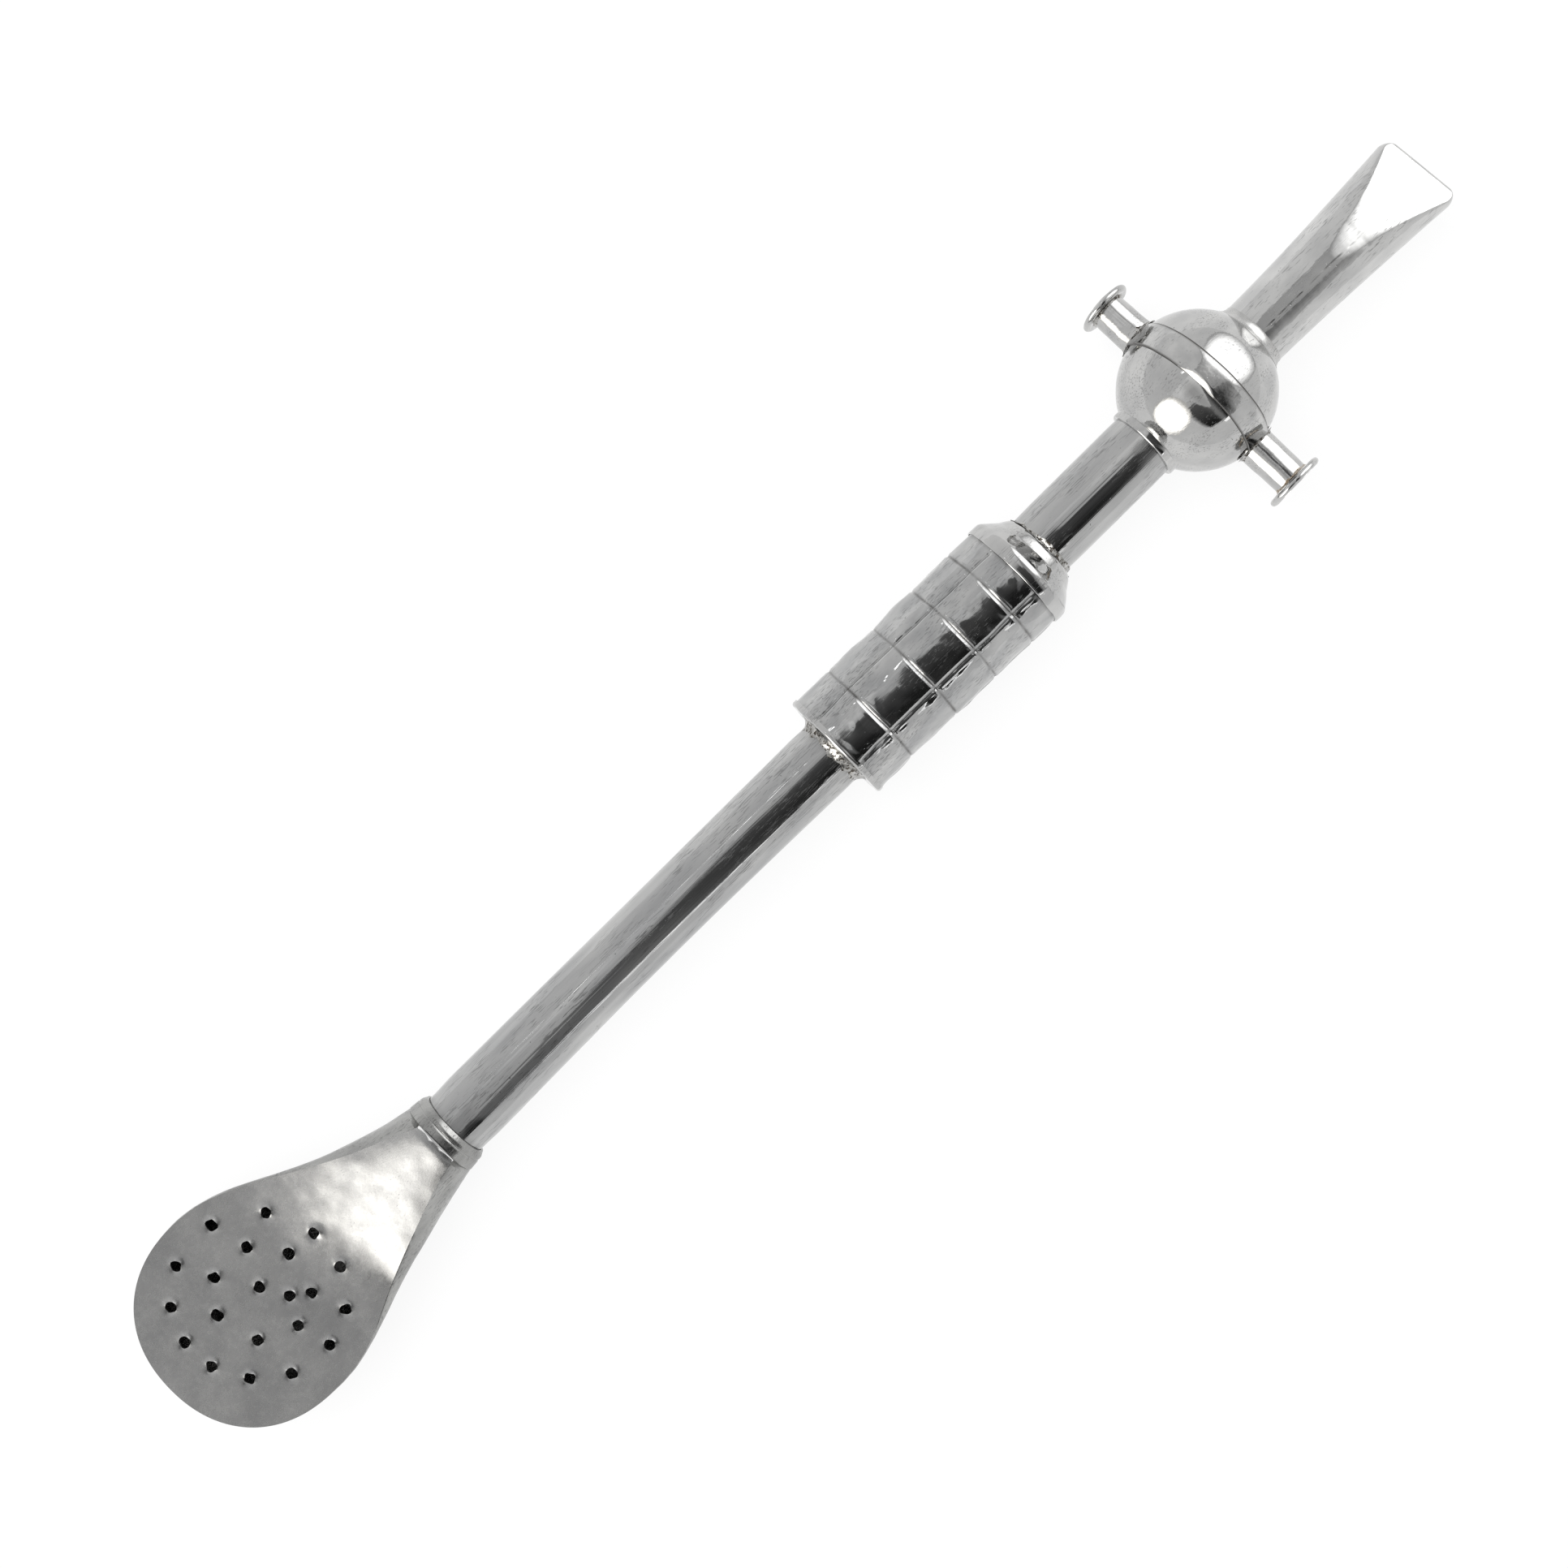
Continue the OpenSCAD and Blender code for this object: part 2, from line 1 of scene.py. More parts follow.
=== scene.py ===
# %% [markdown]
# # A mate straw of hand-worked metal
# A bombilla is a metal straw for mate tea: a flattened mouthpiece, a hollow ball with two stub arms, an
# engraved barrel, a long stem and a spoon-shaped filter. The frame below brings in its solids at their real
# size. Each later cell gives one piece the surface that a silversmith's hand leaves on it.

# %% Load the straw's fixed frame
import json
import math

import bpy
import numpy as np
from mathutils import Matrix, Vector, geometry, noise


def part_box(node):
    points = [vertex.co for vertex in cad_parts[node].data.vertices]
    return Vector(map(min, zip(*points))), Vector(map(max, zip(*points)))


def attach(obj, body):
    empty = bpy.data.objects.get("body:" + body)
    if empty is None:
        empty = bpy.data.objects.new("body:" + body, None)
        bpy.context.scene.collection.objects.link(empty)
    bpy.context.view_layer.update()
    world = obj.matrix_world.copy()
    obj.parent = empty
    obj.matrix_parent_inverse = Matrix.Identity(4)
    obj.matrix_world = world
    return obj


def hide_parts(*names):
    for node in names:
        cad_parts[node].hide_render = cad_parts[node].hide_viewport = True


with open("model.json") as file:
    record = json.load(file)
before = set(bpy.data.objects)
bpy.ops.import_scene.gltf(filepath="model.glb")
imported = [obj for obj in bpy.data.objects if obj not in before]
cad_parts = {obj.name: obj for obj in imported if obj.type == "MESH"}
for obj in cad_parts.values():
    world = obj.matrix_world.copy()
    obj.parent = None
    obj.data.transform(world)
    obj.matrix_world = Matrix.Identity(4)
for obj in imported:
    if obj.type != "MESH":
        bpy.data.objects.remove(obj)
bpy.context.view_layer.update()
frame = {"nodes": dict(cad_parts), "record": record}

print("pieces in the frame:", len(frame["nodes"]))

# %% [markdown]
# ## Measures
# The straw lies along X with its axis a little over the table. Every station below is read from the frame's
# own boxes, in millimetres, so the meshes land exactly where the solids are. The few values that a box can't
# give, such as a wall, are written out.

# %% Stations along the straw
MM = 0.001


def span(node, axis=0):
    """Lowest and highest coordinate of a frame node on one axis, in mm."""
    low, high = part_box(node)
    return low[axis] / MM, high[axis] / MM


def radius_of(node):
    """Half the height of a frame node, in mm."""
    low, high = span(node, 2)
    return (high - low) / 2


stem_from, stem_to = span("stem")
stem_r = radius_of("stem")
axis_z = sum(span("stem", 2)) / 2
neck_from, neck_to = span("neck_ring")
base_from, base_to = span("barrel_base")
shell_from, shell_to = span("barrel_shell")
skirt_from, shoulder_to = span("barrel_shoulder")
ball_foot, ball_x = span("ball_lower_half")
ball_r = radius_of("ball_lower_half")
belt_from, belt_to = span("ball_belt")
mouth_from, mouth_to = span("mouthpiece")
bowl_end = span("filter_back")[0]
tongue_to = span("filter_plate")[1]
print(f"axis {axis_z:.2f} mm up, stem radius {stem_r:.2f}, ball at {ball_x:.2f}, tip at {mouth_to:.2f}")

# %% [markdown]
# ## Skins over rings
# Nearly every piece is a tube, a turned form or a lofted shell. One helper lays quads over a grid of points,
# another turns a profile about an axis. Both give closed skins with an inside, because the straw is sheet
# metal. Smooth noise, the same on each run, then bends the points: a hand-raised ball is never quite round.

# %% Helpers for numbers and noise
NOISE_STEP = (17.3, 5.9, 11.1)


def ramp(value):
    """Soft step from 0 to 1."""
    value = np.clip(value, 0, 1)
    return value * value * (3 - 2 * value)


def mix(a, b, share):
    """The value a share of the way from a to b."""
    return a + (b - a) * share


def bell(distance, width):
    """1 at a distance of 0, falling off softly over a width."""
    return np.exp(-(distance / width) ** 2)


def waves(points, grain, seed):
    """Smooth noise from about -1 to 1 at each point; grain is a bump's size in mm along x, y and z."""
    shift = Vector([step * seed for step in NOISE_STEP])
    flat = np.reshape(points, (-1, 3)) / np.asarray(grain, float)
    values = [noise.noise(Vector(p) + shift) for p in flat]
    return np.reshape(values, np.shape(points)[:-1])


def layered(points, layers):
    """Several smooth noises added up; each layer is (height, grain, seed)."""
    return sum(height * waves(points, grain, seed) for height, grain, seed in layers)


def pushed(points, amount, grain, seed):
    """Points pushed about by smooth noise on each axis."""
    return points + amount * np.stack([waves(points, grain, seed + i) for i in range(3)], -1)


def unit(vectors):
    """Vectors brought to a length of 1."""
    return vectors / np.linalg.norm(vectors, axis=-1, keepdims=True)


print("a soft step, a quarter of the way:", ramp(0.25))

# %% Helpers for skins and outlines


def skin(grid):
    """Points and quads over a grid whose rows and columns both close on themselves."""
    rows, columns = grid.shape[:2]
    faces = []
    for row in range(rows):
        below = row * columns
        above = (row + 1) % rows * columns
        for i in range(columns):
            j = (i + 1) % columns
            faces.append((below + i, below + j, above + j, above + i))
    return grid.reshape(-1, 3), faces


def along(points, step):
    """Closed outline with its long edges cut into pieces of about one step."""
    cut = []
    for start, end in zip(points, list(points[1:]) + [points[0]]):
        pieces = max(1, int(math.dist(start, end) / step))
        for i in range(pieces):
            cut.append([mix(start[0], end[0], i / pieces), mix(start[1], end[1], i / pieces)])
    return np.array(cut)


def arc(centre, radius, start, end, steps):
    """Points of an arc, from one angle in degrees to another."""
    turns = np.radians(np.linspace(start, end, steps + 1))
    return [(centre[0] + radius * math.cos(t), centre[1] + radius * math.sin(t)) for t in turns]


def crowded(start, end, step, marks, reach, fine):
    """Values from start to end, a step apart, with finer ones close to each mark."""
    coarse = np.concatenate([np.arange(start, end, step), [end]])
    clear = np.all(np.abs(coarse[:, None] - np.array(marks)[None, :]) > reach, axis=1)
    near = [mark + np.arange(-reach, reach + fine / 2, fine) for mark in marks]
    values = np.unique(np.round(np.concatenate([coarse[clear]] + near), 4))
    return values[(values >= start) & (values <= end)]


def even_turns(sides):
    """Angles of one full turn, evenly spaced."""
    return np.linspace(0, 2 * math.pi, sides, endpoint=False)


print("stations crowded round a mark:", crowded(0, 2, 0.5, [1], 0.2, 0.1))

# %% Helpers for turned forms
AXIS = (np.array([0, 0, axis_z]), np.array([1.0, 0, 0]), np.array([0, 1.0, 0]), np.array([0, 0, 1.0]))


def turned(profile, turns, place=AXIS):
    """Grid of a closed profile of (station, radius) turned about an axis, from the left side upwards."""
    origin, ahead, left, up = place
    station = profile[:, :1, None]
    radius = profile[:, 1:, None]
    spokes = np.cos(turns)[:, None] * left + np.sin(turns)[:, None] * up
    return origin + station * ahead + radius * spokes[None]


def outwards(grid):
    """Unit vectors from the straw's axis to each point."""
    spoke = grid * np.array([0, 1, 1]) - np.array([0, 0, axis_z])
    return unit(spoke)


def outer_rows(grid, count):
    """1 on the first rows of a grid, which are the outside of a shell, and 0 on the inside."""
    return (np.arange(len(grid)) < count)[:, None].astype(float)


print("pieces are turned about an axis through", AXIS[0])

# %% Helper that makes a piece


def add_piece(name, points, faces, finish, body, slot, nodes, crease=38, grime_and_shade=None):
    """A mesh object made from points in mm, riding on its body in place of the named nodes."""
    mesh = bpy.data.meshes.new(name)
    mesh.from_pydata((np.asarray(points) * MM).tolist(), [], faces)
    # The darkening on the points, partly tarnish and partly painted shade, goes on the mesh as an attribute.
    if grime_and_shade is not None:
        mesh.attributes.new("grime_and_shade", "FLOAT", "POINT").data.foreach_set("value", np.ravel(grime_and_shade).tolist())
    mesh.shade_smooth()
    mesh.set_sharp_from_angle(angle=math.radians(crease))
    piece = bpy.data.objects.new(name, mesh)
    bpy.context.scene.collection.objects.link(piece)
    mesh.materials.append(finish)
    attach(piece, body)
    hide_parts(*nodes)
    print(f"{name}: {len(mesh.vertices)} points, {len(mesh.polygons)} faces")
    return piece


# %% [markdown]
# ## Effects that the finishes share
# Hand-worked metal shows the same few marks everywhere: cloudy wear, hairlines from drawing and polishing,
# patches of short scratches, and small pits. Each is a node group, built once and placed in every finish
# with its own values. They work in the piece's own millimetres, so a scratch is as wide on the stem as on
# the ball.

# %% Node helpers


def put(tree, kind, feeds=(), settings=None, **inputs):
    """A node with its settings, and its inputs set or linked by place (feeds) or by name."""
    made = tree.nodes.new(kind)
    for key, value in (settings or {}).items():
        setattr(made, key, value)
    pairs = [(made.inputs[i], value) for i, value in enumerate(feeds)]
    pairs += [(made.inputs[key.replace("_", " ")], value) for key, value in inputs.items()]
    for socket, value in pairs:
        if isinstance(value, bpy.types.NodeSocket):
            tree.links.new(value, socket)
        elif value is not None:
            socket.default_value = value
    return made


def sums(tree, operation, a, b):
    """The result of a sum of two values."""
    return put(tree, "ShaderNodeMath", (a, b), {"operation": operation}).outputs[0]


def blended(tree, share, first, second):
    """One colour mixed into another by a share."""
    made = put(tree, "ShaderNodeMix", settings={"data_type": "RGBA"})
    for socket, value in ((made.inputs[0], share), (made.inputs[6], first), (made.inputs[7], second)):
        if isinstance(value, bpy.types.NodeSocket):
            tree.links.new(value, socket)
        else:
            socket.default_value = (*value, 1)
    return made.outputs[2]


def between(tree, value, low, high, to_low=0.0, to_high=1.0):
    """A value carried from one range to another and held there."""
    return put(tree, "ShaderNodeMapRange", (value, low, high, to_low, to_high)).outputs[0]


def in_mm(tree, stretch=1.0):
    """The piece's own coordinates in mm, drawn out along the straw by a stretch."""
    place = put(tree, "ShaderNodeTexCoord").outputs["Object"]
    per_x = sums(tree, "DIVIDE", 1 / MM, stretch)
    scale = put(tree, "ShaderNodeCombineXYZ", (per_x, 1 / MM, 1 / MM)).outputs[0]
    return put(tree, "ShaderNodeVectorMath", (place, scale), {"operation": "MULTIPLY"}).outputs[0]


def cloud(tree, place, size, detail):
    """Noise whose clouds are about a size in mm across."""
    scale = sums(tree, "DIVIDE", 1.0, size)
    return put(tree, "ShaderNodeTexNoise", Vector=place, Scale=scale, Detail=detail).outputs[0]


print("node helpers work in mm,", round(1 / MM), "to a unit of the scene")

# %% Shared effects


def new_group(name, inputs, outputs):
    """An empty node group with named value sockets, and its first and last node."""
    tree = bpy.data.node_groups.new(name, "ShaderNodeTree")
    for label, value in inputs.items():
        socket = tree.interface.new_socket(label, in_out="INPUT", socket_type="NodeSocketFloat")
        socket.default_value = value
    for label in outputs:
        tree.interface.new_socket(label, in_out="OUTPUT", socket_type="NodeSocketFloat")
    return tree, tree.nodes.new("NodeGroupInput").outputs, tree.nodes.new("NodeGroupOutput").inputs


def make_wear():
    """Large soft clouds and a finer grain inside them."""
    tree, given, wanted = new_group("cloudy_wear", {"Size": 3.0, "Stretch": 1.0}, ("Tone", "Fine"))
    place = in_mm(tree, given["Stretch"])
    tone = cloud(tree, place, given["Size"], 4.0)
    fine = cloud(tree, place, sums(tree, "MULTIPLY", given["Size"], 0.12), 3.0)
    tree.links.new(between(tree, tone, 0.34, 0.66), wanted["Tone"])
    tree.links.new(between(tree, fine, 0.3, 0.7), wanted["Fine"])
    return tree


def make_hairlines():
    """Long fine lines, as a height."""
    tree, given, wanted = new_group("hairlines", {"Size": 0.2, "Stretch": 30.0}, ("Height",))
    tree.links.new(cloud(tree, in_mm(tree, given["Stretch"]), given["Size"], 3.0), wanted["Height"])
    return tree


def make_scratches():
    """Short strokes that come in patches; a higher start leaves fewer of them."""
    tree, given, wanted = new_group("scratches", {"Size": 0.15, "Stretch": 9.0, "Start": 0.6}, ("Marks",))
    strokes = cloud(tree, in_mm(tree, given["Stretch"]), given["Size"], 1.0)
    stop = sums(tree, "ADD", given["Start"], 0.06)
    patches = between(tree, cloud(tree, in_mm(tree, 3.0), 2.2, 2.0), 0.42, 0.58)
    marks = between(tree, strokes, given["Start"], stop)
    tree.links.new(sums(tree, "MULTIPLY", marks, patches), wanted["Marks"])
    return tree


def make_pits():
    """Small round pits; a larger share makes more of them."""
    tree, given, wanted = new_group("pits", {"Size": 0.6, "Share": 0.3}, ("Pits",))
    holes = cloud(tree, in_mm(tree), given["Size"], 2.0)
    edge = sums(tree, "ADD", given["Share"], 0.08)
    tree.links.new(between(tree, holes, edge, given["Share"]), wanted["Pits"])
    return tree


wear = make_wear()
hairlines = make_hairlines()
scratches = make_scratches()
pitting = make_pits()
print("shared effects:", [group.name for group in (wear, hairlines, scratches, pitting)])

# %% [markdown]
# ## The metal finishes
# All pieces are one white alloy, worked differently: the ball and mouthpiece are buffed, the stem keeps its
# drawing lines, the barrel is chased, the filter is left satin, and the solder is grainy and a little warm.
# One function lays the shared effects over a metallic shader. A darkening value that a mesh may carry on its
# points makes seams, chased lines, joints and the plate's underside darker: partly tarnish where polish
# never reaches, partly painted shade in these recesses and under the plate.

# %% One function for all finishes
stroke_share = 0.7
stroke_tone = 0.55
stroke_rough = 0.22
pit_tone = 0.45
# Tone and extra roughness of the darkened seams, lines and joints: partly tarnish, partly painted shade.
grime_and_shade_tone = (0.05, 0.046, 0.042)
grime_and_shade_rough = 0.3


def place_group(tree, group, **inputs):
    """A node group placed in a tree with its values; gives its outputs."""
    made = tree.nodes.new("ShaderNodeGroup")
    made.node_tree = group
    for key, value in inputs.items():
        made.inputs[key].default_value = value
    return made.outputs


def metal_finish(name, dark, light, rough, clouds, lines, strokes, dents, pits, rust=None):
    """A worn metal, with sizes and heights in mm. rough is a range, clouds is (size, stretch), lines and
    dents are (size, height, stretch), strokes is (size, stretch, start), pits is (size, height, share)."""
    finish = bpy.data.materials.new(name)
    finish.use_nodes = True
    tree = finish.node_tree
    shader = tree.nodes["Principled BSDF"]
    shader.inputs["Metallic"].default_value = 1.0
    worn = place_group(tree, wear, Size=clouds[0], Stretch=clouds[1])
    drawn = place_group(tree, hairlines, Size=lines[0], Stretch=lines[2])
    marks = place_group(tree, scratches, Size=strokes[0], Stretch=strokes[1], Start=strokes[2])["Marks"]
    holes = place_group(tree, pitting, Size=pits[0], Share=pits[2])["Pits"]
    # The mesh's darkening, partly tarnish and partly painted shade in seams and recesses, darkens the colour
    # below.
    grime_and_shade = put(tree, "ShaderNodeAttribute", settings={"attribute_name": "grime_and_shade"}).outputs["Fac"]
    tone = blended(tree, worn["Tone"], dark, light)
    tone = blended(tree, sums(tree, "MULTIPLY", marks, stroke_share), tone, [stroke_tone * c for c in dark])
    tone = blended(tree, holes, tone, rust or [pit_tone * c for c in dark])
    tone = blended(tree, grime_and_shade, tone, grime_and_shade_tone)
    tree.links.new(tone, shader.inputs["Base Color"])
    gloss = between(tree, worn["Fine"], 0.0, 1.0, *rough)
    gloss = sums(tree, "ADD", gloss, sums(tree, "MULTIPLY", marks, stroke_rough))
    gloss = sums(tree, "ADD", gloss, sums(tree, "MULTIPLY", grime_and_shade, grime_and_shade_rough))
    tree.links.new(gloss, shader.inputs["Roughness"])
    dented = cloud(tree, in_mm(tree, dents[2]), dents[0], 2.0)
    raised = sums(tree, "SUBTRACT", 1.0, holes)
    bumped = None
    for height, depth in ((dented, dents[1]), (drawn["Height"], lines[1]), (raised, pits[1])):
        bumped = put(tree, "ShaderNodeBump", Distance=depth * MM, Height=height, Normal=bumped).outputs[0]
    tree.links.new(bumped, shader.inputs["Normal"])
    return finish


print("grime in seams has a tone of", grime_and_shade_tone)

# %% Finishes
buffed = metal_finish(
    "buffed_metal", (0.46, 0.46, 0.458), (0.57, 0.568, 0.56), rough=(0.02, 0.06), clouds=(2.6, 2.0),
    lines=(0.3, 0.006, 14.0), strokes=(0.14, 8.0, 0.57), dents=(2.2, 0.014, 1.0), pits=(0.4, 0.008, 0.2),
)
drawn_stem = metal_finish(
    "drawn_stem", (0.39, 0.392, 0.394), (0.51, 0.51, 0.505), rough=(0.03, 0.08), clouds=(2.4, 5.0),
    lines=(0.28, 0.016, 70.0), strokes=(0.13, 11.0, 0.56), dents=(1.0, 0.012, 16.0), pits=(0.4, 0.006, 0.19),
)
chased = metal_finish(
    "chased_barrel", (0.38, 0.383, 0.385), (0.52, 0.52, 0.515), rough=(0.02, 0.06), clouds=(2.0, 2.0),
    lines=(0.3, 0.008, 8.0), strokes=(0.14, 6.0, 0.56), dents=(1.5, 0.02, 1.5), pits=(0.45, 0.01, 0.21),
)
buffed_mouth = metal_finish(
    "buffed_mouth", (0.53, 0.53, 0.527), (0.65, 0.648, 0.64), rough=(0.02, 0.06), clouds=(2.6, 2.0),
    lines=(0.3, 0.006, 14.0), strokes=(0.14, 8.0, 0.58), dents=(2.2, 0.014, 1.0), pits=(0.4, 0.008, 0.2),
)
trim = metal_finish(
    "bright_trim", (0.46, 0.46, 0.458), (0.58, 0.578, 0.57), rough=(0.03, 0.07), clouds=(2.0, 1.0),
    lines=(0.3, 0.005, 3.0), strokes=(0.14, 4.0, 0.58), dents=(1.0, 0.014, 1.0), pits=(0.4, 0.008, 0.21),
)
dull = metal_finish(
    "dull_back", (0.28, 0.28, 0.275), (0.4, 0.4, 0.39), rough=(0.2, 0.32), clouds=(2.5, 2.0),
    lines=(0.25, 0.008, 8.0), strokes=(0.14, 6.0, 0.57), dents=(2.0, 0.02, 1.5), pits=(0.5, 0.008, 0.22),
)
solder = metal_finish(
    "grainy_solder", (0.26, 0.255, 0.24), (0.53, 0.525, 0.51), rough=(0.08, 0.22), clouds=(0.9, 1.0),
    lines=(0.2, 0.006, 1.0), strokes=(0.14, 2.0, 0.6), dents=(0.5, 0.05, 1.0), pits=(0.35, 0.04, 0.4),
    rust=(0.07, 0.06, 0.05),
)
smooth_solder = metal_finish(
    "smooth_solder", (0.45, 0.45, 0.445), (0.57, 0.565, 0.555), rough=(0.2, 0.3), clouds=(1.5, 1.0),
    lines=(0.3, 0.005, 3.0), strokes=(0.14, 3.0, 0.58), dents=(1.2, 0.012, 1.0), pits=(0.4, 0.008, 0.22),
)
brown_solder = metal_finish(
    "brown_solder", (0.26, 0.205, 0.145), (0.48, 0.43, 0.37), rough=(0.16, 0.3), clouds=(0.9, 1.0),
    lines=(0.2, 0.006, 1.0), strokes=(0.14, 2.0, 0.6), dents=(0.5, 0.04, 1.0), pits=(0.35, 0.03, 0.34),
    rust=(0.16, 0.1, 0.055),
)
satin = metal_finish(
    "satin_plate", (0.34, 0.34, 0.34), (0.41, 0.409, 0.405), rough=(0.22, 0.3), clouds=(4.0, 1.0),
    lines=(0.1, 0.006, 6.0), strokes=(0.12, 7.0, 0.7), dents=(3.0, 0.03, 1.0), pits=(0.4, 0.004, 0.05),
)
print("finishes:", len(bpy.data.materials))

# %% [markdown]
# ## The stem
# A long drawn tube. A plain cylinder would mirror the studio in ruler-straight stripes, so its outline keeps
# the photographed waist and slight bow, and long shallow flutes run down its length, with three sharper
# marks from the drawing plate. Where the neck, barrel and ball hold it, it stays true.

# %% Stem
stem_wall = 0.6
bore_r = stem_r - stem_wall
stem_step = 0.5
waist = 0.21
bow = 0.19
lower_swell = 0.12
upper_swell = 0.05
held_soft = 3.0
mark_soft = 4.0
# Reach of the darkening on the stem by the barrel's base and at the neck: partly tarnish, partly painted
# shade where the stem goes into them.
base_soot_and_shade_reach = 0.9
neck_soot_and_shade_reach = 0.25
flute_layers = ((0.03, (36, 2.6, 2.6), 1), (0.014, (11, 4, 4), 2), (0.006, (50, 0.75, 0.75), 3))
# Each mark has its turn in degrees, its height in mm, its width in degrees and the stations it runs between.
draw_marks = (
    (93.4, 0.018, 2.2, shoulder_to, ball_foot),
    (75.5, 0.016, 2.5, -40.0, base_from),
    (99.8, -0.015, 1.8, neck_to, -25.0),
)


def within(x, start, end, soft):
    """1 between two stations and 0 outside, with soft ends."""
    return ramp((x - start) / soft) * ramp((end - x) / soft)


def stem_surface():
    """Skin of the stem, and the darkening on its points: partly tarnish, partly painted shade by the joints.
    """
    steps = np.concatenate([np.arange(stem_from, stem_to, stem_step), [stem_to]])
    outer = np.stack([steps, np.full(len(steps), stem_r)], 1)
    inner = np.stack([steps[::-1], np.full(len(steps), bore_r)], 1)
    mark_turns = [mark[0] for mark in draw_marks]
    turns = crowded(0, 358.1, step=2.0, marks=mark_turns, reach=5.0, fine=0.5)
    grid = turned(np.concatenate([outer, inner]), np.radians(turns))
    x = grid[..., 0]
    arch = np.sin(math.pi * np.clip((x - neck_to) / (base_from - neck_to), 0, 1))
    lower = within(x, neck_to + 0.5, base_from, held_soft)
    upper = within(x, shoulder_to, ball_foot, held_soft)
    flutes = layered(grid, flute_layers)
    for turn, height, width, start, end in draw_marks:
        flutes += height * bell(turns - turn, width) * within(x, start, end, mark_soft)
    swell = lower * (lower_swell - waist * arch) + upper * upper_swell + (lower + upper) * flutes
    grid = grid + outwards(grid) * (swell * outer_rows(grid, len(steps)))[..., None]
    grid[..., 1] += lower * bow * arch
    # Darker next to the barrel's base and at the neck: partly tarnish, partly painted shade where the stem
    # goes into them.
    soot_and_shade = np.exp(-(base_from - x).clip(0) / base_soot_and_shade_reach) * (x < base_from)
    soot_and_shade = soot_and_shade + np.exp(-np.abs(x - neck_to) / neck_soot_and_shade_reach)
    soot_and_shade *= 0.5 + 0.5 * waves(grid, (0.9, 0.9, 0.9), 4)
    return skin(grid), np.clip(soot_and_shade, 0, 0.8)


stem_skin, stem_soot_and_shade = stem_surface()
add_piece("stem_tube", *stem_skin, drawn_stem, "straw", "stem_metal", ["stem"], grime_and_shade=stem_soot_and_shade)

# %% [markdown]
# ## The barrel
# A sheet sleeve chased with four rings and six long lines. The maker's hammer left every panel between the
# lines a little pillowed, and that is what breaks the dark reflection into a row of blobs. So the panels are
# real relief: a crown that falls off towards the lines, which are narrow furrows with raised lips and a
# darkened bottom, partly tarnish and partly painted shade. Painted shade also darkens the sleeve beside the
# skirt and the base. Points crowd around the lines, so that they stay crisp.

# %% Barrel sleeve
barrel_r = radius_of("barrel_shell")
barrel_wall = 0.5
bare_h = skirt_from - base_to
ring_lines = [base_to + share * bare_h for share in (0.18, 0.435, 0.66, 0.87)]
long_lines = 6
line_turn = 3.5
line_angles = [60 - line_turn + 60 * i for i in range(long_lines)]
row_edges = np.array([shell_from] + ring_lines + [skirt_from + 0.4])
pillow_round = 0.12
pillow_along = 0.035
furrow_depth = 0.09
furrow_w = 0.17
lip_h = 0.028
lip_away = 2.3 * furrow_w
lip_w = 0.8 * furrow_w
ring_wander = 0.16
line_wander = 0.02
dent_layers = ((0.2, (4.2, 3.2, 3.2), 7), (0.055, (1.6, 1.3, 1.3), 8))
tucked = 0.25
barrel_lean = -0.3
skirt_fade = 0.6
base_fade = 0.9
# Each darkening has its darkness and its width in mm: in the rings and lines it is partly tarnish and partly
# painted shade, beside the skirt and the base it is painted shade.
ring_soot_and_shade = (0.72, 0.18)
line_soot_and_shade = (0.28, 0.1)
skirt_painted_shade = (0.6, 0.25)
base_painted_shade = (0.15, 0.3)


def soot_and_shade_beside(distance, soot_and_shade):
    """Darkening beside a line or an edge: partly tarnish, partly painted shade."""
    darkness, width = soot_and_shade
    return darkness * bell(distance, width)


def furrow(distance):
    """A chased line: the height of the low lip on each side, and the depth of the soft V between them."""
    lips = lip_h * bell(np.abs(distance) - lip_away, lip_w)
    return np.stack([lips, furrow_depth * bell(distance, furrow_w)])


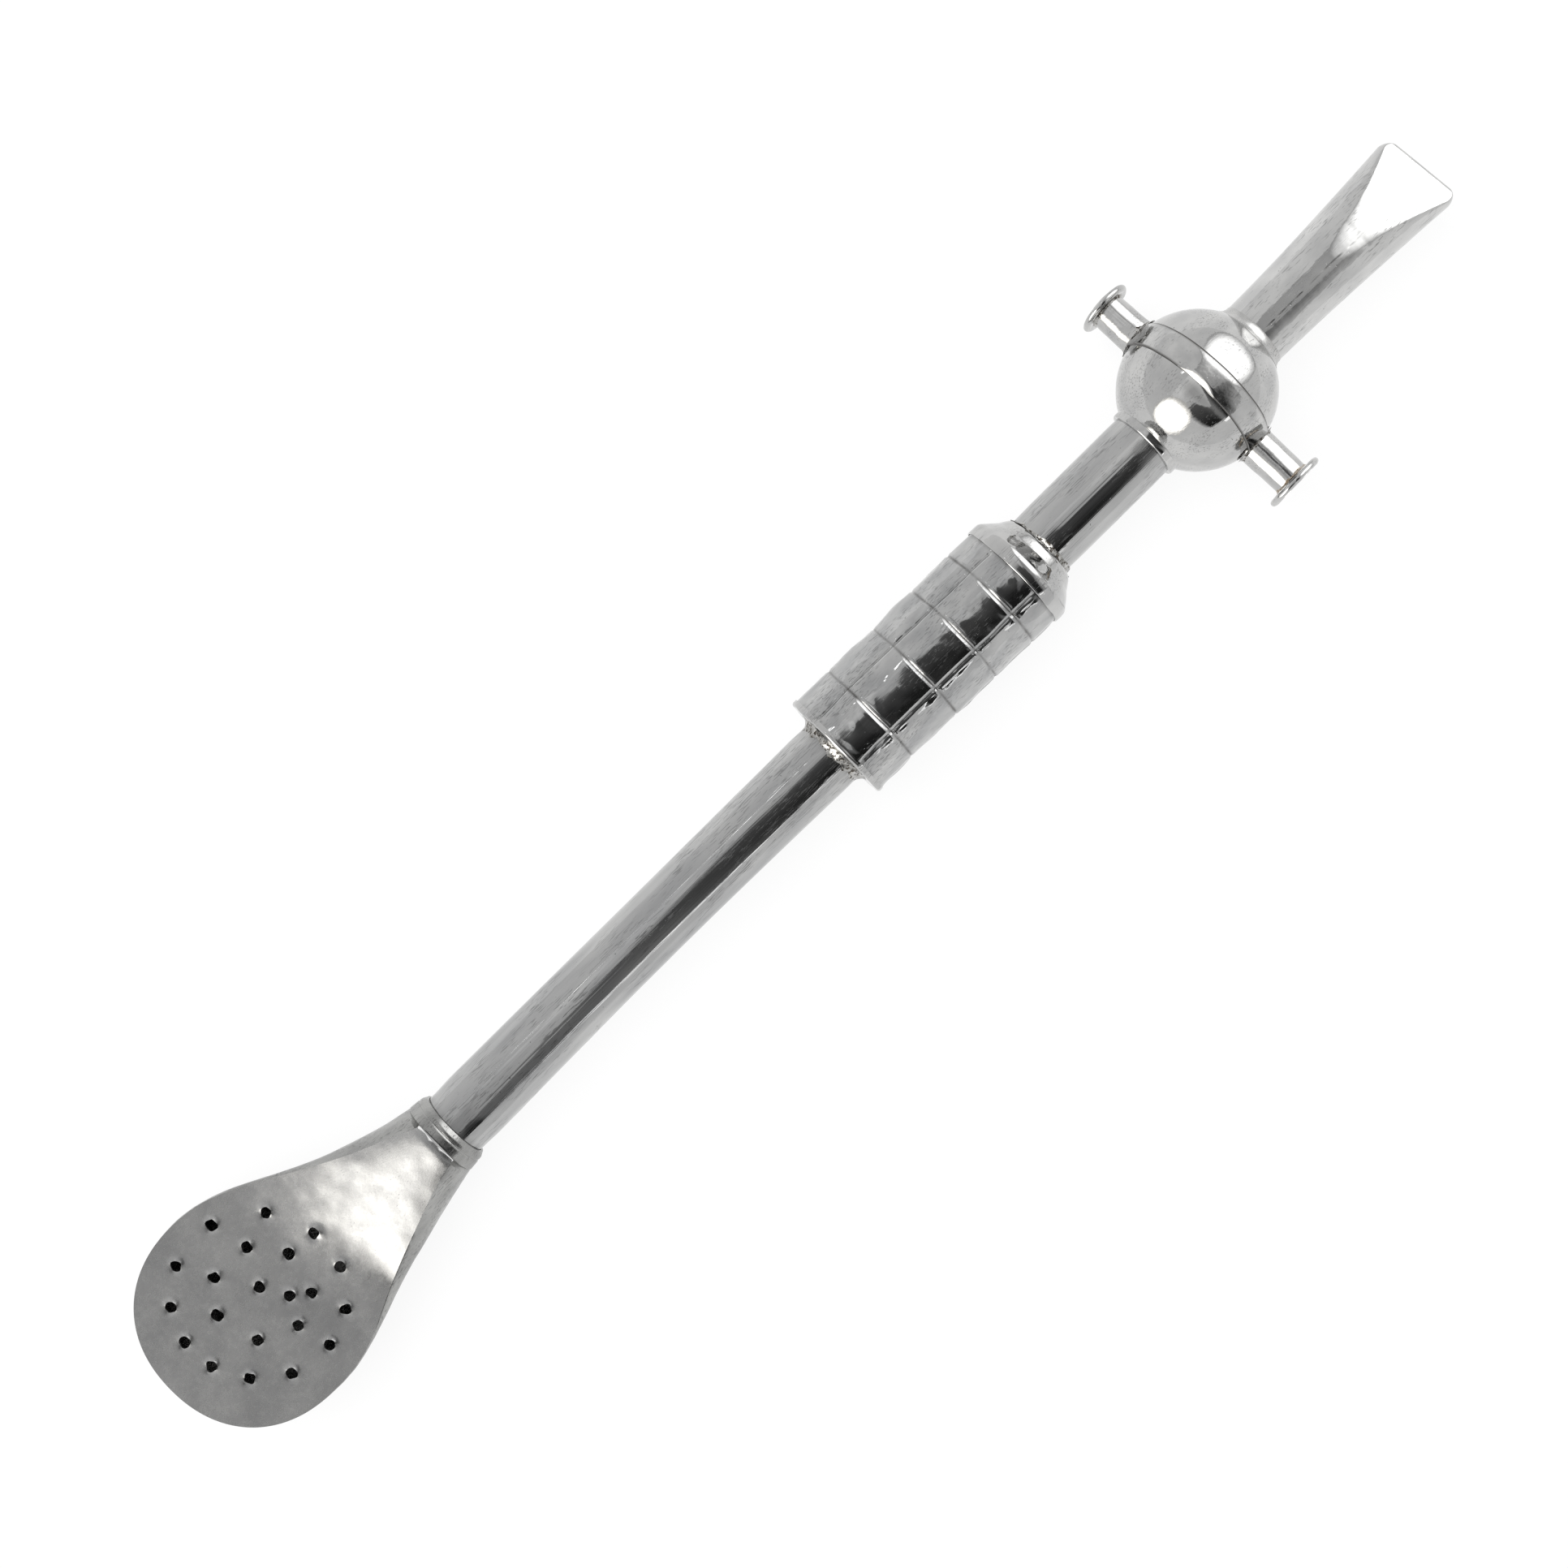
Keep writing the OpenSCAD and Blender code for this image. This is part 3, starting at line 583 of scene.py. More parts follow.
def barrel_surface():
    """Skin of the sleeve with its panels and chased lines, and the darkening on its points: partly tarnish,
    partly painted shade.
    """
    steps = crowded(shell_from - tucked, shell_to, step=0.22, marks=ring_lines, reach=0.45, fine=0.045)
    outer = np.stack([steps, np.full(len(steps), barrel_r)], 1)
    inner = np.stack([steps[::-6], np.full(len(steps[::-6]), barrel_r - barrel_wall)], 1)
    turns = np.radians(crowded(0, 358.9, step=1.2, marks=line_angles, reach=3.6, fine=0.36))
    grid = turned(np.concatenate([outer, inner]), turns)
    x = grid[..., 0]
    around = np.degrees(np.arctan2(grid[..., 2] - axis_z, grid[..., 1]))
    sector = (around - line_angles[0]) * long_lines / 360
    sector += line_wander * waves(grid, (5, 30, 30), 5)
    across = 2 * (sector - np.floor(sector)) - 1
    to_line = (1 - np.abs(across)) * math.pi * barrel_r / long_lines
    wandering = x + ring_wander * waves(grid, (60, 5, 5), 6)
    row = np.clip(np.searchsorted(row_edges, wandering) - 1, 0, len(row_edges) - 2)
    lengthways = 2 * (wandering - row_edges[row]) / (row_edges[row + 1] - row_edges[row]) - 1
    relief = -pillow_along * np.abs(np.clip(lengthways, -1, 1)) ** 8 - pillow_round * np.abs(across) ** 4
    relief += layered(grid, dent_layers)
    to_ring = np.min(np.abs(wandering[..., None] - np.array(ring_lines)), axis=-1)
    under_skirt = ramp((skirt_from - x) / skirt_fade)
    relief *= ramp((x - base_to + 0.1) / base_fade)
    lips, cuts = np.maximum(furrow(to_ring), furrow(to_line) * under_skirt)
    relief += lips - cuts
    # Darker in the rings and lines, partly tarnish and partly painted shade, and painted shade beside the
    # skirt and the base.
    soot_and_shade = soot_and_shade_beside(to_ring, ring_soot_and_shade) + soot_and_shade_beside(to_line, line_soot_and_shade)
    soot_and_shade += soot_and_shade_beside(x - skirt_from, skirt_painted_shade) + soot_and_shade_beside(x - base_to, base_painted_shade)
    soot_and_shade *= 0.75 + 0.5 * waves(grid, (1.2, 1.2, 1.2), 9)
    outside = outer_rows(grid, len(steps))
    grid = grid + outwards(grid) * (relief * outside)[..., None]
    grid[..., 1] += barrel_lean * ramp((x - base_to) / (shell_to - base_to))
    return skin(grid), np.clip(soot_and_shade * outside, 0, 0.9)


barrel_skin, barrel_soot_and_shade = barrel_surface()
add_piece("barrel_sleeve", *barrel_skin, chased, "straw", "engraved_metal", ["barrel_shell"], crease=60,
          grime_and_shade=barrel_soot_and_shade)

# %% [markdown]
# The shoulder is a spun cap with a short skirt over the sleeve, and the base is a washer with a rolled rim.
# Turned profiles suit both. Their points get a little noise along the turn, so the rims catch the light in a
# broken line, and they follow the sleeve's slight lean.

# %% Barrel shoulder and base
rim_r = radius_of("barrel_shoulder")
shoulder_cone = 2.9
sleeve_top = shoulder_to - shoulder_cone
land_r = stem_r + 0.45
shoulder_round = 0.9
base_round = (base_to - base_from) / 2


def hand_turned(profile, sides, amount, grain, seed, lean=0.0, place=AXIS):
    """A turned form whose points are pushed about a little."""
    grid = pushed(turned(profile, even_turns(sides), place), amount, grain, seed)
    grid[..., 1] += lean
    return skin(grid)


shoulder_outline = (
    [(skirt_from, barrel_r + 0.02), (skirt_from, rim_r - 0.06), (skirt_from + 0.08, rim_r)]
    + [(skirt_from + 0.75, rim_r + 0.02)]
    + arc((sleeve_top - 0.45, rim_r - shoulder_round), shoulder_round, 90, 42, 6)
    + [(mix(sleeve_top, shoulder_to, 0.55), mix(rim_r, land_r, 0.62)), (shoulder_to - 0.3, land_r + 0.28)]
    + [(shoulder_to, land_r), (shoulder_to, stem_r), (shoulder_to - 1.0, stem_r)]
    + [(sleeve_top, barrel_r - barrel_wall), (sleeve_top, barrel_r + 0.02)]
)
shoulder_skin = hand_turned(along(shoulder_outline, 0.15), sides=240, amount=0.09, grain=(1.6, 2.4, 2.4),
                            seed=11, lean=barrel_lean)
add_piece("barrel_shoulder_cap", *shoulder_skin, buffed, "straw", "polished_metal", ["barrel_shoulder"],
          crease=50)
base_outline = (
    [(base_from, stem_r + 0.02)]
    + arc((base_from + base_round, rim_r - base_round), base_round, 180, 70, 8)
    + [(base_to + 0.02, rim_r - 0.03), (base_to + 0.02, stem_r + 0.02)]
)
base_skin = hand_turned(along(base_outline, 0.12), sides=240, amount=0.07, grain=(1.4, 2.0, 2.0), seed=15)
add_piece("barrel_base_washer", *base_skin, buffed, "straw", "polished_metal", ["barrel_base"], crease=50)

# %% [markdown]
# Solder runs by hand: it wets the joint in an uneven ring, with pits where the flux burned. Each ring is a
# small concave fillet whose points are pushed about by coarse noise, in the grainy finish.

# %% Solder round the barrel
solder_sink = 0.12
solder_sides = 180
solder_grain = (0.9, 0.9, 0.9)


def fillet(corner, reach, spread, side):
    """Outline of a concave fillet at a corner (station, radius): reach along the tube, spread outwards."""
    turns = np.radians(np.linspace(0, 90, 9))
    foot, radius = corner
    curve = [(foot + side * reach * (1 - math.cos(a)), radius + spread * (1 - math.sin(a))) for a in turns]
    return np.array([(foot, radius - solder_sink)] + curve + [(foot + side * reach, radius - solder_sink)])


def solder_ring(name, outline, finish, slot, node, seed, lean=0.0, amount=0.13, place=AXIS):
    """A ring of hand-run solder on the straw."""
    ring_skin = hand_turned(outline, solder_sides, amount, solder_grain, seed, lean, place)
    return add_piece(name, *ring_skin, finish, "straw", slot, [node], crease=70)


upper_fillet = fillet((shoulder_to - 0.05, stem_r), reach=0.75, spread=0.55, side=1)
solder_ring("barrel_solder_upper", upper_fillet, solder, "solder", "barrel_solder_top", seed=21,
            lean=0.6 * barrel_lean)
lower_fillet = fillet((base_from + 0.05, stem_r), reach=1.3, spread=1.3, side=-1)
solder_ring("barrel_solder_lower", lower_fillet, solder, "solder", "barrel_solder_bottom", seed=24)

# %% [markdown]
# ## The ball
# Two raised cups meet under a soldered belt. Each cup is an arc turned about the axis with an inside of its
# own. The belt sits on the ball a little askew, so its rings are laid on the sphere one by one instead of
# being turned. On the upper side its edge towards the stem was filed to a slope, which shows as a bright
# sliver.

# %% Ball halves
ball_wall = 0.7
mouth_r = 4.05
ball_middle = np.array([ball_x, 0, axis_z])
stem_hole = math.degrees(math.asin(stem_r / ball_r))
mouth_hole = math.degrees(math.asin(mouth_r / ball_r))


def cup(name, from_turn, to_turn, node, seed):
    """Half of the ball, between two angles from the straw's axis."""
    outer = arc((ball_x, 0), ball_r, from_turn, to_turn, 80)
    inner = arc((ball_x, 0), ball_r - ball_wall, to_turn, from_turn, 24)
    grid = turned(np.array(outer + inner), even_turns(240))
    uneven = layered(grid, ((0.04, (5, 5, 5), seed), (0.007, (1.7, 1.7, 1.7), seed + 1)))
    grid = grid + unit(grid - ball_middle) * (uneven * outer_rows(grid, len(outer)))[..., None]
    return add_piece(name, *skin(grid), buffed, "straw", "polished_metal", [node])


cup("ball_cup_stem", from_turn=180 - stem_hole, to_turn=90, node="ball_lower_half", seed=31)
cup("ball_cup_mouth", from_turn=90, to_turn=mouth_hole, node="ball_upper_half", seed=33)

# %% Belt
belt_half_w = (belt_to - belt_from) / 2
belt_proud = 0.2
belt_tilt = 0.045
belt_slew = -0.04
sliver_turn = math.radians(85)
sliver_half = 0.29
sliver_w = 0.74
sliver_slope = 0.5
sliver_lift = 0.13
sliver_ends = 0.1
sliver_reach = 3.2
sliver_fade = 2.6
belt_round = 0.9
belt_flat = 0.5
belt_sunk = 0.1
belt_under = 0.25
belt_seam_w = 0.15
belt_far_seam_w = 0.24
# Darkness of the belt's seams and edge rows: partly tarnish, partly painted shade in the crevice.
belt_soot_and_shade_most = 0.92


def belt_surface():
    """Skin of the belt with its filed sliver, and the darkening in its two seams and on its edge rows:
    partly tarnish, partly painted shade.
    """
    edge = 0.03
    rise = np.array([0.0, 0.35, 0.75, 1.0])
    first = belt_half_w * np.array([-1, -1, -1 + edge, -1 + 2 * edge])
    bend = np.radians(np.linspace(0, 90, 9))
    last = belt_half_w - belt_round * (1 - np.sin(bend))
    across = np.concatenate([first, np.linspace(first[-1], last[0], 42)[1:-1], last])
    proud = np.concatenate([rise, np.ones(40), np.cos(bend)]) * belt_proud
    turns = even_turns(300)
    reach, angle = np.meshgrid(across, turns, indexing="ij")
    height = np.repeat(proud[:, None], len(turns), 1)
    off = (angle - sliver_turn) / sliver_half
    filed = np.clip(1 - off ** 2, 0, 1)
    inward = reach + belt_half_w
    width = sliver_w * filed
    lip = np.clip((sliver_reach - inward) / sliver_fade, 0, 1) * (filed > 0)
    height = height + lip * (sliver_lift * filed + sliver_ends * np.clip(off, -1, 1) ** 2 * filed)
    height = height - np.clip(width - inward, 0, None) * sliver_slope * (height > 0)
    station = reach + ball_r * (belt_tilt * np.sin(angle) + belt_slew * np.cos(angle))
    rested = mix(station, belt_flat * station, np.clip(height / belt_proud, 0, 1))
    radius = np.sqrt(ball_r ** 2 - rested ** 2) + np.maximum(height, -belt_sunk)
    outer = np.stack([station + ball_x, radius * np.cos(angle), radius * np.sin(angle) + axis_z], -1)
    inner = outer[[0, -1]][::-1]
    grid = np.concatenate([outer, inner - belt_under * unit(inner - ball_middle)])
    grid = pushed(grid, amount=0.03, grain=(2.5, 2.5, 2.5), seed=36)
    # Darker along both seams and fully dark on the edge rows under the belt: partly tarnish, partly painted
    # shade in the crevice.
    edge_gap = np.where(filed > 0, np.maximum(inward, belt_seam_w), belt_half_w - np.abs(reach))
    edge_gap = np.minimum(edge_gap, belt_half_w - reach)
    seam = bell(edge_gap, belt_seam_w) + bell(belt_half_w - reach, belt_far_seam_w)
    seam = np.concatenate([np.minimum(seam, 1), np.ones((2, len(turns)))])
    return skin(grid), belt_soot_and_shade_most * seam


belt_skin, belt_soot_and_shade = belt_surface()
add_piece("ball_belt_band", *belt_skin, trim, "straw", "bright_trim", ["ball_belt"], crease=45,
          grime_and_shade=belt_soot_and_shade)

# %% Collar
collar_from = span("ball_collar")[0]
collar_r = radius_of("ball_collar")
collar_round = 0.18
collar_lap = 0.45
collar_sink = 0.05
collar_outline = (
    [(collar_from, stem_r - collar_sink)]
    + arc((collar_from + collar_round, collar_r - 0.2), collar_round, 180, 95, 6)
    + [(ball_foot + collar_lap, collar_r + 0.02), (ball_foot + collar_lap, stem_r - collar_sink)]
)
collar_skin = hand_turned(along(collar_outline, 0.08), sides=200, amount=0.05, grain=(0.9, 1.2, 1.2),
                          seed=41)
add_piece("ball_collar_ring", *collar_skin, trim, "straw", "bright_trim", ["ball_collar"], crease=50)

# %% [markdown]
# ## The arms
# Two short blind tubes stand on the belt, one dipping and one rising a few degrees. Their end plates are
# discs with a rounded rim. Each arm is turned about its own axis, which the frame's mounts give, so the tilt
# comes from the place it is given and not from bending the mesh.

# %% Arms
arm_r = 2.15
arm_wall = 0.5
arm_root = 8.6
arm_solder_at = 8.8
flange_t = 0.8
flange_round = 0.38
arm_yaw = math.radians(1.4)
mounts = {mount["name"]: mount for mount in frame["record"]["mounts"]}


def arm_place(out):
    """Origin, outward direction and two cross directions of an arm, turned a little about the upright."""
    ahead = np.array([math.cos(arm_yaw), math.sin(arm_yaw), 0])
    out = np.array([-math.sin(arm_yaw) * out[1], math.cos(arm_yaw) * out[1], out[2]])
    return ball_middle, out, ahead, np.cross(out, ahead)


for seed, label in ((50, "left"), (60, "right")):
    mount = mounts[f"arm_end_{label}"]
    place = arm_place(np.array(mount["axis"]))
    reach = float(np.linalg.norm(np.array(mount["pos_m"]) / MM - ball_middle))
    flange_from, flange_to = span(f"arm_flange_{label}")
    flange_r = (flange_to - flange_from) / 2
    seat = reach - flange_t
    tube_outline = [(arm_root, arm_r + 0.08), (seat + 0.05, arm_r - 0.04), (seat + 0.05, arm_r - arm_wall),
                    (arm_root, arm_r - arm_wall)]
    tube_skin = hand_turned(along(tube_outline, 0.15), sides=120, amount=0.045, grain=(2.4, 1.6, 1.6),
                            seed=seed, place=place)
    add_piece(f"arm_tube_{label}_side", *tube_skin, buffed, "straw", "polished_metal", [f"arm_tube_{label}"],
              crease=50)
    plate_outline = (
        [(seat, 0.02), (seat, flange_r - flange_round)]
        + arc((seat + flange_t / 2, flange_r - flange_round), flange_round, 180, 0, 10)
        + [(reach, flange_r - flange_round), (reach, 0.02)]
    )
    plate_skin = hand_turned(along(plate_outline, 0.12), sides=128, amount=0.05, grain=(1.5, 1.5, 1.5),
                             seed=seed + 3, place=place)
    add_piece(f"arm_plate_{label}", *plate_skin, trim, "straw", "bright_trim", [f"arm_flange_{label}"],
              crease=50)
    foot_fillet = fillet((arm_solder_at, arm_r), reach=0.7, spread=0.5, side=1)
    solder_ring(f"arm_foot_{label}", foot_fillet, solder, "solder", f"arm_solder_{label}", seed + 6,
                amount=0.1, place=place)
    seat_fillet = fillet((seat + 0.03, arm_r - 0.04), reach=0.4, spread=0.4, side=-1)
    seat_solder = brown_solder if label == "right" else solder
    solder_ring(f"plate_solder_{label}", seat_fillet, seat_solder, "tarnished_solder",
                f"flange_solder_{label}", seed + 8, amount=0.06, place=place)

# %% [markdown]
# ## The mouthpiece
# A tube that the smith flattened at the tip with two facets. Seen from above, a plane cutting down into a
# round tube leaves a V, so each section is an ellipse held below a flat that widens steadily towards the
# tip, with the corner between them worn round. The tip has round corners and runs askew, and the tube's
# seam shows as a fine broken line on the upper side.

# %% Mouthpiece
tip_slant = 0.4
tip_skew = 0.55
tip_reach = 0.3
body_len = mouth_to - mouth_from - tip_slant
mouth_wall = 0.6
tip_half_w = 5.1
tip_half_h = 1.45
tip_corner = 1.4
facet_from = 13.6
facet_spread = 0.35
facet_blend = 0.4
mouth_entry = 1.6
seam_turn = math.radians(96)
seam_start = 2.5
seam_end = 17.5
seam_depth = 0.03
seam_w = 0.09
seam_wander = 0.035
# Darkening along the tube's seam: partly tarnish, partly painted shade in the groove.
seam_soot_and_shade = (0.7, 0.07)
mouth_layers = ((0.03, (16, 2.4, 2.4), 91), (0.04, (7, 5, 5), 92), (0.006, (14, 0.8, 0.8), 93))


def soft_min(a, b, blend):
    """The smaller of two values, with the corner between them rounded."""
    overlap = np.maximum(blend - np.abs(a - b), 0) / blend
    return np.minimum(a, b) - overlap * overlap * blend / 4


def corner_cut(past):
    """How much a round corner takes off, at a distance past its start."""
    return tip_corner - math.sqrt(max(tip_corner ** 2 - past ** 2, 0))


def mouth_section(v, wall, turns):
    """One ring of the mouthpiece at a distance v from its foot."""
    share = np.clip((v - mouth_entry) / (body_len - mouth_entry - tip_corner), 0, 1)
    cut = corner_cut(max(v - body_len + tip_corner, 0))
    width = mix(mouth_r, tip_half_w, share ** 1.6) - cut - wall
    fall = max(v - facet_from, 0) / (body_len - facet_from)
    flat = min(facet_spread * max(v - facet_from, 0) / (width + cut + wall), 0.99)
    ceiling = max(mouth_r * math.sqrt(1 - flat ** 2), tip_half_h) - 0.5 * cut - wall
    y = width * np.cos(turns)
    z = (mouth_r - wall) * np.sin(turns)
    z = np.sign(z) * soft_min(np.abs(z), ceiling, facet_blend * min(4 * fall, 1) + 0.01)
    slant = tip_skew * fall ** 2 * y / tip_half_w
    return np.stack([mouth_from + v + tip_reach * fall - slant, y, z + axis_z], -1)


def mouth_surface():
    """Skin of the mouthpiece, and the darkening in its seam: partly tarnish, partly painted shade."""
    corner_turns = np.sin(np.radians([15, 30, 45, 58, 68, 76, 83]))
    stations = np.concatenate([np.linspace(0, body_len - tip_corner, 130),
                               body_len - tip_corner + tip_corner * corner_turns])
    turns = np.radians(crowded(0, 358.5, step=2.0, marks=[math.degrees(seam_turn)], reach=4.0, fine=0.4))
    outer = np.stack([mouth_section(v, 0.0, turns) for v in stations])
    inner = np.stack([mouth_section(v, mouth_wall, turns) for v in stations[::-1]])
    uneven = layered(outer, mouth_layers)
    v = outer[..., 0] - mouth_from
    wander = seam_wander * waves(outer * np.array([1, 0, 0]), (5, 1, 1), 94)
    to_seam = (turns[None, :] - seam_turn - wander) * mouth_r
    broken = np.clip(0.5 + 1.6 * waves(outer, (1.1, 0.6, 0.6), 95), 0, 1)
    broken = broken * within(v, seam_start, seam_end, 1.0)
    uneven -= seam_depth * bell(to_seam, seam_w) * broken
    outer = outer + outwards(outer) * uneven[..., None]
    # The seam's groove is darker: partly tarnish, partly painted shade.
    soot_and_shade = np.concatenate([soot_and_shade_beside(to_seam, seam_soot_and_shade) * broken, np.zeros(inner.shape[:2])])
    return skin(np.concatenate([outer, inner])), soot_and_shade


mouth_skin, mouth_soot_and_shade = mouth_surface()
add_piece("mouthpiece_tube", *mouth_skin, buffed_mouth, "straw", "polished_metal", ["mouthpiece"], crease=60,
          grime_and_shade=mouth_soot_and_shade)

# %% [markdown]
# Where the mouthpiece leaves the ball, the solder was filed to a broad smooth hollow that flows from one
# into the other. Its outline is an arc that touches the ball and the tube.

# %% Mouthpiece fillet
hollow_r = 1.5


def hollow_points():
    """Arc from the tube to the ball, closed by a foot inside both."""
    middle_r = mouth_r + 0.05 + hollow_r
    middle_x = math.sqrt((ball_r + hollow_r) ** 2 - middle_r ** 2)
    touch = 180 + math.degrees(math.atan2(middle_r, middle_x))
    hollow = arc((ball_x + middle_x, middle_r), hollow_r, 270, touch, 16)
    foot_x = hollow[-1][0] - 0.3
    return np.array(hollow + [(foot_x, mouth_r - 0.1), (hollow[0][0], mouth_r - 0.1)])


solder_ring("mouthpiece_fillet", hollow_points(), smooth_solder, "solder", "mouthpiece_solder", seed=97,
            amount=0.02)

# %% [markdown]
# ## The filter head
# The back is a raised bowl that narrows to the neck, lofted from sections with a wall of their own. Its
# widths follow one outline: a full round end, then a flank that draws in to the neck. The plate lies on its
# rim, flat over the bowl, then climbs to a tongue over the neck. Both lean a little to the left, as the
# hand-made one does.

# %% Outline of the head
neck_end = neck_from - bowl_end
tongue_end = tongue_to - bowl_end
bowl_nose = 12.8
bowl_half_w = 12.9
bowl_shift = 1.25
round_power = 2.2
sleeve_r = span("neck_sleeve", 2)[1] - axis_z
neck_r = sleeve_r + 0.05 + 0.4
back_wall = 0.4
bend_from = bowl_nose + 5.7
bend_len = 9.0
bend_to = span("neck_sleeve")[0] - bowl_end - 0.4
plate_t = 0.5
plate_rise = 0.6
tongue_rise = sleeve_r + 0.05
edge_inset = 0.1
tongue_inset = 2.1
inset_from = bowl_nose + 5.2
plate_slip = 0.35
tongue_tip = tongue_end + 0.6
tongue_dip = 0.24
flank_len = neck_end - bowl_nose
flank_handles = (0.304, 0.646)
neck_flare = math.tan(math.radians(11.5))


def flank_curve():
    """Stations and half widths of the flank, a cubic curve from the widest place to the neck."""
    k = np.linspace(0, 1, 400)
    weights = ((1 - k) ** 3, 3 * (1 - k) ** 2 * k, 3 * (1 - k) * k * k, k ** 3)
    first, last = (flank_len * handle for handle in flank_handles)
    us = (bowl_nose, bowl_nose + first, neck_end - last, neck_end)
    ws = (bowl_half_w, bowl_half_w, neck_r + last * neck_flare, neck_r)
    return sum(w * p for w, p in zip(weights, us)), sum(w * p for w, p in zip(weights, ws))


flank_u, flank_w = flank_curve()


def half_width(u):
    """Half width of the head at a distance u from the bowl's end."""
    nose = 1 - np.clip((bowl_nose - u) / bowl_nose, 0, 1) ** round_power
    return np.where(u < bowl_nose, bowl_half_w * nose ** (1 / round_power), np.interp(u, flank_u, flank_w))


def lean(u):
    """How far the head's middle line lies to the left at u."""
    return bowl_shift * (1 - ramp((u - bowl_nose) / (bend_to - bowl_nose)))


def climb(u):
    """How far the plate has climbed at u, per unit of slope."""
    past = np.maximum(u - bend_from, 0)
    return np.where(past < bend_len, past ** 2 / (2 * bend_len), past - bend_len / 2)


def plate_z(u):
    """Height of the plate's underside over the axis at u."""
    return plate_rise + (tongue_rise - plate_rise) * climb(u) / climb(bend_to)


def tongue_drop(u):
    """How far the tongue's end is hammered down onto the neck."""
    return tongue_dip * ramp((u - tongue_end + 0.25) / 0.85)


def rim_inset(u):
    """How far the plate's edge lies inside the head's outline at u."""
    share = np.clip((u - inset_from) / (tongue_end - inset_from), 0, 1)
    return edge_inset + (tongue_inset - edge_inset) * share ** 1.35


def slip(u):
    """Sideways slip of the rim and the plate along the flanks."""
    return plate_slip * ramp((u - inset_from) / 8) * ramp((tongue_end + 1 - u) / 4)


print(f"bowl {2 * bowl_half_w:.1f} mm wide")
print(f"tongue at {tongue_end:.1f} mm, climbing to {plate_z(tongue_end):.2f} mm")

# %% Filter back
back_layers = ((0.07, (5, 5, 5), 101), (0.03, (1.6, 1.6, 1.6), 102))


def back_grid(wall):
    """Sections of the back from its nose to the neck, left rim round the bottom to the right rim."""
    neck_rim_z = math.sqrt(neck_r ** 2 - (neck_r - tongue_inset) ** 2)
    stations = np.concatenate([
        bowl_nose * (1 - np.cos(np.radians(np.linspace(5, 90, 34))) ** (2 / round_power)),
        np.linspace(bowl_nose, tongue_end, 70)[1:],
        np.linspace(tongue_end, neck_end, 4)[1:],
    ])
    rows = []
    for u in stations:
        width = float(half_width(u))
        depth = axis_z * width / bowl_half_w
        if u >= bowl_nose:
            depth = float(mix(axis_z, neck_r, ramp((u - bowl_nose) / flank_len)))
        past = np.clip((u - tongue_end) / (neck_end - tongue_end), 0, 1)
        rise = float(mix(plate_z(min(u, tongue_end)), neck_rim_z, past))
        inset = min(float(rim_inset(u)), 0.8 * width)
        width_in = max(width - wall, 0.2)
        up = np.linspace(math.acos(1 - inset / width), 0, 7)[:-1]
        belly = np.linspace(0, math.pi, 49)
        lift = rise / math.sin(up[0])
        y = np.concatenate([width_in * np.cos(up), width_in * np.cos(belly), -width_in * np.cos(up[::-1])])
        y += float(slip(u)) * np.concatenate([np.sin(up), 0 * belly, np.sin(up[::-1])]) / math.sin(up[0])
        deep = max(depth - wall, 0.2)
        z = np.concatenate([lift * np.sin(up), -deep * np.sin(belly), lift * np.sin(up[::-1])])
        x = np.full(len(y), bowl_end + max(u, wall))
        rows.append(np.stack([x, y + float(lean(u)), z + axis_z], -1))
    return np.stack(rows)


def back_surface():
    """Points and faces of the back: an outside, an inside and the rims between them."""
    outer = back_grid(0.0)
    inner = back_grid(back_wall)
    dents = layered(outer, back_layers)
    dents *= ramp((neck_end - (outer[..., 0] - bowl_end)) / 3)
    dents *= np.clip((outer[..., 2] - 0.6) / 2, 0, 1)
    dents[:, [0, -1]] = 0
    spoke = outer - outer.mean(axis=1, keepdims=True)
    outer = outer + spoke / (np.linalg.norm(spoke, axis=-1, keepdims=True) + 1e-6) * dents[..., None]
    rows, columns = outer.shape[:2]
    inside = rows * columns
    points = np.concatenate([outer.reshape(-1, 3), inner.reshape(-1, 3)])
    faces = []
    for r in range(rows - 1):
        for i in range(columns - 1):
            a = r * columns + i
            b = a + columns
            faces.append((a, b, b + 1, a + 1))
            faces.append((inside + a, inside + a + 1, inside + b + 1, inside + b))
        for i in (0, columns - 1):
            a = r * columns + i
            b = a + columns
            rim_face = (a, inside + a, inside + b, b)
            faces.append(rim_face if i == 0 else rim_face[::-1])
    last = (rows - 1) * columns
    for i in range(columns - 1):
        faces.append((last + i, inside + last + i, inside + last + i + 1, last + i + 1))
    faces.append((0, columns - 1, inside + columns - 1, inside))
    faces.append(tuple(range(columns)))
    faces.append(tuple(inside + i for i in reversed(range(columns))))
    return points, faces


add_piece("filter_bowl", *back_surface(), dull, "filter_head", "dull_metal", ["filter_back"], crease=50)

# %% [markdown]
# The plate is sheet metal with holes punched by hand: none is round, and each has a burr that catches the
# light on one side. A triangulation with the hole outlines as fixed edges keeps them crisp, and a fine field
# of points between them lets the sheet bend up to its tongue.

# %% Places of the holes
hole_r = 0.65
inner_ahead = 0.5
punch_ahead = 1.4
punch_aside = 0.5
punch_drift = 0.065
outer_ring_r = 9.5
inner_ring_r = 5.4
outer_places = [7, 42, 79, 116, 145, 171, 195, 221, 249, 281, 308, 338]
inner_places = [14, 64, 118, 165, 222, 274, 318]
middle_places = [(67, 0.14), (-49, 0.565)]
hole_sides = 18
hole_ragged = 0.3
ragged_round = 1.1


